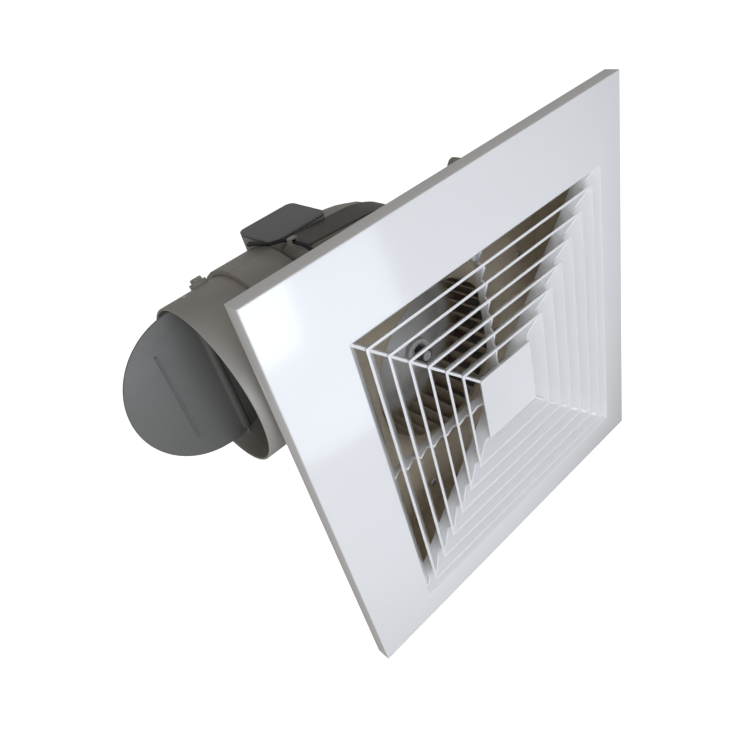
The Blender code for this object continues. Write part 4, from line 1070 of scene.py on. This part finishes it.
@dataclass
class InletRing:
    """The flat ring behind the grille whose flared throat leads air into the wheel."""

    finish: bpy.types.Material
    neck: Neck
    plate: float = 0.099
    front: float = 0.0313
    thickness: float = 0.0024
    throat: float = 0.0605
    flare: float = 0.013
    lip: float = 0.0455
    skin: float = 0.0019
    screws: int = 5
    screw_radius: float = 0.095
    screw_start: float = 28.0
    hole: float = 0.0020
    steps: int = 20

    def section(self) -> Array:
        """Plate, quarter-ellipse flare and lip.

        Returns:
            (radius, y) pairs. The flare is (throat + flare (1 - sin t), front + depth
            (1 - cos t)), and its back is the same curve moved out by the skin.
        """
        t = np.linspace(0, math.pi / 2, self.steps)
        depth = self.lip - self.front
        face = np.stack([self.throat + self.flare * (1 - np.sin(t)),
                         self.front + depth * (1 - np.cos(t))], axis=-1)
        rear = face[:-1] + np.array([self.skin, self.thickness])
        rear[:, 1] = np.minimum(rear[:, 1], self.lip)
        rim = fillet([(self.plate, self.front, 0.0006),
                      (self.plate, self.front + self.thickness, 0.0006),
                      (self.plate - 0.01, self.front + self.thickness, 0.0001),
                      (self.plate - 0.01, self.front, 0.0001)], 4)[:8]
        return np.concatenate([rim[:4], rim[4:8], rear, face[::-1]])

    def build(self) -> bpy.types.Object:
        """Builds and dresses the ring.

        Returns:
            The object.
        """
        ring = mesh_object("inlet_ring_moulding", [lathe(self.section(), 128)], 30.0)
        places = self.screw_start + 360.0 * np.arange(self.screws) / self.screws
        bores = [lathe(np.array([(0, -0.002), (self.hole, -0.002), (self.hole, 0.008),
                                 (0, 0.008)]), 20,
                       tuple(polar(self.screw_radius, a, self.front)), Axis.Y, False)
                 for a in places]
        carve(ring, mesh_object("ring_bores", bores), 30.0)
        carve(ring, self.neck.solid("ring_neck_clearance", 0.0007, -0.13), 30.0)
        return settle(ring, self.finish, Body.HOUSING, Slot.CASING, "inlet_ring")


@dataclass
class Impeller:
    """The wheel: hub cone, back plate, front hoop and thirty-six forward-curved vanes."""

    finish: bpy.types.Material
    radius: float = 0.071
    root: float = 0.062
    front: float = 0.047
    back: float = 0.0936
    skin: float = 0.0018
    hoop: float = 0.0022
    hub: float = 0.011
    hub_front: float = 0.0625
    cone_y: float = 0.067
    cone_radius: float = 0.050
    hub_back: float = 0.0765
    bore: float = 0.0043
    vanes: int = 36
    vane: float = 0.0012
    sweep: float = 38.0
    inset: float = 0.0007
    curve: float = 0.0007

    def vane_set(self) -> list[Patch]:
        """The vanes: a strip whose middle line bows by a parabola across the rim.

        Returns:
            One closed surface for each vane, turned round the Y axis to its place.
        """
        chord = (self.radius - self.root - 2 * self.inset) / math.cos(math.radians(self.sweep))
        s = np.linspace(-1, 1, 9)
        bow = self.curve * (s * s - 1.0)
        line = np.stack([s * chord / 2, bow], axis=-1)
        offset = np.array([0, self.vane / 2])
        outline = np.concatenate([line + offset, line[::-1] - offset])
        tilt = math.radians(self.sweep)
        x = outline[:, 0] * math.cos(tilt) + outline[:, 1] * math.sin(tilt)
        z = -outline[:, 0] * math.sin(tilt) + outline[:, 1] * math.cos(tilt)
        x = x + (self.radius + self.root) / 2
        depth = np.array([self.front + self.hoop * 0.4, self.back - self.skin * 0.4])
        made = []
        for angle in 2 * math.pi * np.arange(self.vanes) / self.vanes:
            turned_x = x * math.cos(angle) + z * math.sin(angle)
            turned_z = -x * math.sin(angle) + z * math.cos(angle)
            points = np.stack([np.broadcast_to(turned_x, (2, len(x))),
                               np.broadcast_to(depth[:, None], (2, len(x))),
                               np.broadcast_to(turned_z, (2, len(x)))], axis=-1)
            made.append(capped(points))
        return made

    def hub_section(self) -> Array:
        """Hub, cone and back plate as (radius, y) pairs with eased corners."""
        front = self.back - self.skin
        return fillet([
            (self.bore, self.hub_front, 0.0003), (self.hub, self.hub_front, 0.0012),
            (self.hub, self.cone_y, 0.0015), (self.cone_radius, front, 0.004),
            (self.radius, front, 0.0004), (self.radius, self.back, 0.0004),
            (self.cone_radius - self.skin / 2, self.back, 0.003),
            (self.hub, self.cone_y + 1.5 * self.skin, 0.001),
            (self.hub, self.hub_back, 0.0004), (self.bore, self.hub_back, 0.0003)], 6)

    def build(self) -> bpy.types.Object:
        """Builds and dresses the wheel.

        Returns:
            The object.
        """
        low, high = self.front, self.front + self.hoop
        hoop = fillet([(self.root, low, 0.0008), (self.radius, low, 0.0008),
                       (self.radius, high, 0.0005), (self.root, high, 0.0005)], 5)
        wheel = mesh_object("wheel_moulding", [lathe(self.hub_section(), 112), lathe(hoop, 112),
                                               *self.vane_set()], 30.0)
        return settle(wheel, self.finish, Body.IMPELLER, Slot.WHEEL, "impeller_wheel")


@dataclass
class Spigot:
    """The round outlet spigot with its rolled mouth and the small two-step latch."""

    finish: bpy.types.Material
    neck: Neck
    radius: float = 0.0518
    wall: float = 0.0016
    tip_x: float = -0.1545
    root_x: float = -0.101
    latch: tuple[float, float, float] = (0.009, 0.010, 0.005)
    latch_x: float = -0.1275
    latch_degrees: float = 65.0

    def build(self) -> bpy.types.Object:
        """Builds and dresses the spigot.

        Returns:
            The object.
        """
        inner = self.radius - self.wall
        tube = fillet([(inner, self.tip_x, 0.00079), (self.radius, self.tip_x, 0.00079),
                       (self.radius, self.root_x, 0.0004), (inner, self.root_x, 0.0004)], 7)
        length, width, height = self.latch
        base = slab(length / 2, width / 2, self.radius - self.wall / 2,
                    self.radius + height * 0.55, 0.0015, 0.0007)
        crown = slab(length / 2 - 0.0016, width / 2 - 0.0012, self.radius + height * 0.4,
                     self.radius + height, 0.0014, 0.0009)
        lift = (Matrix.Translation((self.latch_x, self.neck.y, self.neck.z))
                @ Matrix.Rotation(math.radians(self.latch_degrees - 90.0), 4, "X"))
        body = mesh_object("spigot_moulding", [
            lathe(tube, 144, (0, self.neck.y, self.neck.z), Axis.X),
            base.moved(lift), crown.moved(lift)], 32.0)
        return settle(body, self.finish, Body.HOUSING, Slot.CASING, "outlet_spigot")


@dataclass
class Damper:
    """The backdraught flap, standing open: a thin disc with a hinge sleeve and one rib."""

    finish: bpy.types.Material
    radius: float = 0.0484
    thickness: float = 0.0014
    centre: tuple[float, float, float] = (-0.153, 0.0705, 0.0786)
    hinge_x: float = -0.142
    sleeve: float = 0.003
    sleeve_half: float = 0.045
    rib_x: float = -0.172
    rib_half: float = 0.030
    rib: float = 0.0012

    def build(self) -> bpy.types.Object:
        """Builds and dresses the flap.

        Returns:
            The object.
        """
        _, y, z = self.centre
        half = self.thickness / 2
        edge = half * 0.95
        s = np.linspace(0, math.pi, 9)
        rim = np.stack([self.radius - edge + edge * np.sin(s), -half * np.cos(s)], axis=-1)
        disc = np.concatenate([[(0, -half)], rim, [(0, half)]])
        turn = np.linspace(0, math.pi / 2, 5)
        end = self.sleeve_half - 0.0006
        quarter = np.stack([self.sleeve - 0.0006 * (1 - np.sin(turn)),
                            -end - 0.0006 * np.cos(turn)], axis=-1)
        tube = np.concatenate([[(0, -self.sleeve_half)], quarter,
                               quarter[::-1] * np.array([1, -1]), [(0, self.sleeve_half)]])
        block = slab(self.rib / 2, self.rib_half, -self.rib, 0.0004, 0.0005, 0.0004)
        stand = Matrix(((1, 0, 0, self.rib_x), (0, 0, 1, y - half), (0, 1, 0, z), (0, 0, 0, 1)))
        flap = mesh_object("damper_moulding", [
            lathe(disc, 128, self.centre, Axis.Y, False),
            lathe(tube, 28, (self.hinge_x, y, z), Axis.Z, False), block.moved(stand)], 34.0)
        return settle(flap, self.finish, Body.DAMPER, Slot.DAMPER, "damper_flap")


@dataclass
class TerminalLid:
    """The lid of the terminal box: a rounded plate with eased edges."""

    finish: bpy.types.Material
    corner: float = 0.005

    def build(self) -> bpy.types.Object:
        """Builds and dresses the lid.

        Returns:
            The object.
        """
        low, high = (np.array(corner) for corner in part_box("terminal_lid"))
        half = (high - low) / 2
        middle = (high + low) / 2
        plate = slab(half[0], half[1], -half[2], half[2], self.corner, 0.0007, 7)
        lid = mesh_object("box_lid", [plate.moved(Matrix.Translation(middle.tolist()))], 40.0)
        return settle(lid, self.finish, Body.HOUSING, Slot.CASING, "terminal_lid")


@dataclass
class Scroll:
    """Top of the scroll casing, which the label lies on."""

    roof: float = 0.129
    rise: float = 0.0165
    round_end: float = 0.035
    outlet: float = 0.082
    neck: Neck = field(default_factory=Neck)

    def top(self, x: Array) -> Array:
        """Height of the outlet chamber's roof at places left of the axis.

        It is the roof, less a quarter ellipse at its right end, plus a straight rise to the neck.

        Args:
            x: places along X.

        Returns:
            Heights.
        """
        share = np.maximum(0.0, 1.0 + np.minimum(0.0, x) / self.round_end)
        rounded = self.rise * (1.0 - np.sqrt(1.0 - share ** 2))
        climb = (self.neck.z + self.neck.radius - self.roof) * np.minimum(1.0, -x / self.outlet)
        return self.roof - rounded + climb


@dataclass
class RatingLabel:
    """The blank rating plate on top of the scroll."""

    finish: bpy.types.Material
    scroll: Scroll
    left: float = -0.0757
    length: float = 0.0667
    front: float = 0.0373
    width: float = 0.0222
    gap: float = 0.0003
    thickness: float = 0.0004

    def build(self) -> bpy.types.Object:
        """Builds and dresses the label, with u along it and v across it.

        Returns:
            The object.
        """
        u, v = np.meshgrid(np.linspace(0, 1, 49), np.linspace(0, 1, 9), indexing="ij")
        x = self.left + u * self.length
        under = np.stack([x, self.front + v * self.width, self.scroll.top(x) + self.gap], axis=-1)
        over = under + np.array([0, 0, self.thickness])
        wrapped = np.concatenate([over, under[:, ::-1]], axis=1)
        label = mesh_object("rating_plate", [capped(wrapped)], 40.0)
        layer = label.data.uv_layers.new(name="plate")
        points = np.empty(len(label.data.vertices) * 3)
        label.data.vertices.foreach_get("co", points)
        points = points.reshape(-1, 3)
        index = np.empty(len(label.data.loops), dtype=np.int32)
        label.data.loops.foreach_get("vertex_index", index)
        place = np.stack([(points[index, 0] - self.left) / self.length,
                          (points[index, 1] - self.front) / self.width], axis=-1)
        layer.data.foreach_set("uv", place.astype(np.float32).ravel())
        return settle(label, self.finish, Body.HOUSING, Slot.LABEL, "rating_label")


@dataclass
class SupplyLead:
    """The supply lead, from the terminal box's side over the scroll to the tub's grommet."""

    finish: bpy.types.Material
    corner: tuple[float, float, float] = (-0.086, 0.0606, 0.1352)
    tub: float = 0.110
    radius: float = 0.0011
    route: tuple[tuple[float, float, float], ...] = (
        (0.0003, 0.0244, -0.0048), (0.0018, 0.0242, -0.0046), (0.0031, 0.0214, -0.0038),
        (0.0038, 0.0134, -0.0012), (0.0037, 0.0044, 0.0003), (0.0018, -0.0011, 0.0007),
        (-0.0020, -0.0034, 0.0006), (-0.0054, -0.0056, 0.0003), (-0.0068, -0.0096, 0.0002),
        (-0.0068, -0.0166, 0.0002), (-0.0068, -0.0246, 0.0000), (-0.0068, -0.0336, -0.0030),
        (-0.0068, -0.0416, -0.0087))
    ending: tuple[tuple[float, float, float], ...] = (
        (-0.0068, -0.0456, 0.0100), (-0.0068, -0.0466, 0.0046))

    def build(self) -> bpy.types.Object:
        """Builds and dresses the lead on a smooth curve through its route.

        Returns:
            The object.
        """
        x, y, z = self.corner
        steps = np.array(self.route) * np.array([-1, 1, 1]) + np.array([x, y, z])
        finish = np.array(self.ending) * np.array([-1, 1, 1]) + np.array([x, y, self.tub])
        path = curve_through(np.concatenate([steps, finish]), 8)
        lead = mesh_object("lead_sheath", [along_path(path, self.radius)], 60.0)
        return settle(lead, self.finish, Body.HOUSING, Slot.RUBBER, "supply_lead")


@dataclass(frozen=True)
class Carried:
    """A CAD node whose shape is right: its edges are eased and it is given a finish."""

    node: str
    finish: bpy.types.Material
    body: Body
    slot: Slot
    ease: float = 0.0002
    crease: float = 32.0

    def build(self) -> bpy.types.Object:
        """Copies the node's mesh, merges its loose triangles and eases its edges.

        Returns:
            The object.
        """
        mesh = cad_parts[self.node].data.copy()
        bm = bmesh.new()
        bm.from_mesh(mesh)
        bmesh.ops.remove_doubles(bm, verts=bm.verts, dist=1e-6)
        bmesh.ops.dissolve_limit(bm, angle_limit=math.radians(0.6), verts=bm.verts, edges=bm.edges)
        bm.to_mesh(mesh)
        bm.free()
        piece = bpy.data.objects.new(f"{self.node}_finished", mesh)
        bpy.context.scene.collection.objects.link(piece)
        shade(piece, self.crease)
        if self.ease:
            bevel = piece.modifiers.new("eased_edges", "BEVEL")
            bevel.width = self.ease
            bevel.segments = 2
            bevel.limit_method = "ANGLE"
            bevel.angle_limit = math.radians(self.crease)
            bevel.harden_normals = True
        return settle(piece, self.finish, self.body, self.slot, self.node)


@dataclass
class Hardware:
    """Everything whose CAD shape is right: shells, motor, screws, springs and small parts."""

    finishes: Finishes

    def pieces(self) -> list[Carried]:
        """The carried nodes with their finishes.

        Returns:
            One entry for each node.
        """
        f = self.finishes
        housing, grille, impeller = Body.HOUSING, Body.GRILLE, Body.IMPELLER
        rows = [
            ("mounting_frame", f.inlet, housing, Slot.CASING, 0.0004),
            ("casing_front_shell", f.casing, housing, Slot.CASING, 0.0),
            ("casing_rear_shell", f.casing, housing, Slot.CASING, 0.0),
            ("terminal_box", f.casing, housing, Slot.CASING, 0.0),
            ("lead_clip", f.casing, housing, Slot.CASING, 0.0002),
            ("lead_grommet", f.rubber, housing, Slot.RUBBER, 0.0004),
            ("terminal_block", f.rubber, housing, Slot.RUBBER, 0.0003),
            ("damper_pin", f.bright, housing, Slot.BRIGHT, 0.0002),
            ("motor_front_shell", f.zinc, housing, Slot.MOTOR, 0.0),
            ("motor_rear_shell", f.zinc, housing, Slot.MOTOR, 0.0003),
            ("stator_core", f.core, housing, Slot.CORE, 0.0002),
            ("winding_front", f.copper, housing, Slot.COPPER, 0.0),
            ("winding_rear", f.copper, housing, Slot.COPPER, 0.0),
            ("bearing_front", f.bright, housing, Slot.BRIGHT, 0.0002),
            ("bearing_rear", f.bright, housing, Slot.BRIGHT, 0.0002),
            ("rotor", f.core, impeller, Slot.CORE, 0.0002),
            ("motor_shaft", f.bright, impeller, Slot.BRIGHT, 0.0002),
            ("impeller_washer", f.bright, impeller, Slot.BRIGHT, 0.0002),
            ("impeller_nut", f.dark, impeller, Slot.DARK, 0.0003),
            ("grille_spring_upper", f.bright, grille, Slot.BRIGHT, 0.0),
            ("grille_spring_lower", f.bright, grille, Slot.BRIGHT, 0.0),
        ]
        rows += [(f"rubber_mount_{i}", f.rubber, housing, Slot.RUBBER, 0.0003)
                 for i in range(1, 4)]
        rows += [(f"motor_screw_{i}", f.bright, housing, Slot.BRIGHT, 0.0) for i in range(1, 4)]
        rows += [(f"mounting_screw_{i}", f.bright, housing, Slot.BRIGHT, 0.0)
                 for i in range(1, 5)]
        rows += [(f"inlet_screw_{i}", f.bright, housing, Slot.BRIGHT, 0.0) for i in range(1, 6)]
        rows += [(f"casing_screw_{i}", f.dark, housing, Slot.DARK, 0.0) for i in range(1, 6)]
        return [Carried(*row) for row in rows]

    def build(self) -> None:
        """Builds every carried node."""
        for piece in self.pieces():
            piece.build()


@dataclass
class Studio:
    """Pale floor, pale surroundings, soft lights and the camera."""

    floor_z: float = -0.50
    floor_reach: float = 60.0
    eye: tuple[float, float, float] = (-0.24991, -0.26186, 0.28459)
    turn: tuple[float, float, float, float] = (0.818885, 0.430683, -0.056480, -0.375167)
    lens: float = 31.82
    shift: tuple[float, float] = (-0.009, 0.044)
    gloss: float = 0.35

    def camera(self) -> None:
        """Places the camera."""
        data = bpy.data.cameras.new("camera")
        data.lens = self.lens
        data.sensor_width = 36.0
        data.shift_x, data.shift_y = self.shift
        data.clip_start = 0.01
        data.clip_end = 200.0
        seen = bpy.data.objects.new("camera", data)
        seen.rotation_mode = "QUATERNION"
        seen.rotation_quaternion = Quaternion(self.turn)
        seen.location = self.eye
        bpy.context.scene.collection.objects.link(seen)
        bpy.context.scene.camera = seen

    def lamp(self, name: str, spot: tuple[float, float, float], size: float,
             power: float, colour: Colour = (1.0, 1.0, 1.0)) -> None:
        """Adds a square soft light that faces the fan.

        Args:
            name: its name.
            spot: where it stands.
            size: side of its panel.
            power: watts.
            colour: its colour.
        """
        data = bpy.data.lights.new(name, "AREA")
        data.size = size
        data.energy = power
        data.color = colour
        data.specular_factor = self.gloss
        light = bpy.data.objects.new(name, data)
        light.location = spot
        light.rotation_mode = "QUATERNION"
        light.rotation_quaternion = (-light.location).to_track_quat("-Z", "Y")
        bpy.context.scene.collection.objects.link(light)

    def floor(self) -> None:
        """Adds the plain pale floor, a disc well below the fan."""
        reach = self.floor_reach
        section = np.array([(0, self.floor_z - 0.01), (reach, self.floor_z - 0.01),
                            (reach, self.floor_z), (0, self.floor_z)])
        ground = mesh_object("floor", [lathe(section, 96, (0, 0, 0), Axis.Z, False)])
        bench = Bench("pale_floor")
        clouds = bench.noise(3.0, 3.0)
        made = bench.finish(
            Base_Color=bench.blend(clouds, (0.93, 0.93, 0.93), (0.90, 0.90, 0.90)),
            Roughness=clouds * 0.1 + 0.8, Emission_Color=(1.0, 1.0, 1.0), Emission_Strength=0.85)
        ground.data.materials.append(made)
        ground.visible_diffuse = False
        ground.visible_glossy = False

    def world(self) -> None:
        """Makes the surroundings plain white."""
        world = bpy.data.worlds.new("white_room")
        world.use_nodes = True
        world.node_tree.nodes["Background"].inputs["Color"].default_value = (1.0, 0.98, 0.96, 1.0)
        world.node_tree.nodes["Background"].inputs["Strength"].default_value = 0.30
        bpy.context.scene.world = world

    def build(self) -> None:
        """Builds the studio."""
        bpy.context.scene.view_settings.view_transform = "Standard"
        self.camera()
        self.world()
        self.floor()
        self.lamp("room_light", (-0.45, -1.60, 0.20), 1.1, 14.5, (0.81, 0.88, 1.0))
        self.lamp("low_light", (0.10, -1.40, -0.35), 0.9, 6.5, (0.82, 0.88, 1.0))
        self.lamp("side_light", (-1.30, -0.30, -0.20), 0.8, 1.4, (1.0, 0.94, 0.88))


def main() -> None:
    """Builds the fan, its finishes and the studio."""
    logging.basicConfig(level=logging.INFO, format="%(name)s: %(message)s")
    Studio().build()
    finishes = Finishes()
    neck = Neck()
    Grille(finishes.grille).build()
    InletRing(finishes.inlet, neck).build()
    Impeller(finishes.wheel).build()
    Spigot(finishes.casing, neck).build()
    Damper(finishes.damper).build()
    TerminalLid(finishes.lid).build()
    RatingLabel(finishes.label, Scroll()).build()
    SupplyLead(finishes.rubber).build()
    Hardware(finishes).build()


if __name__ == "__main__":
    main()
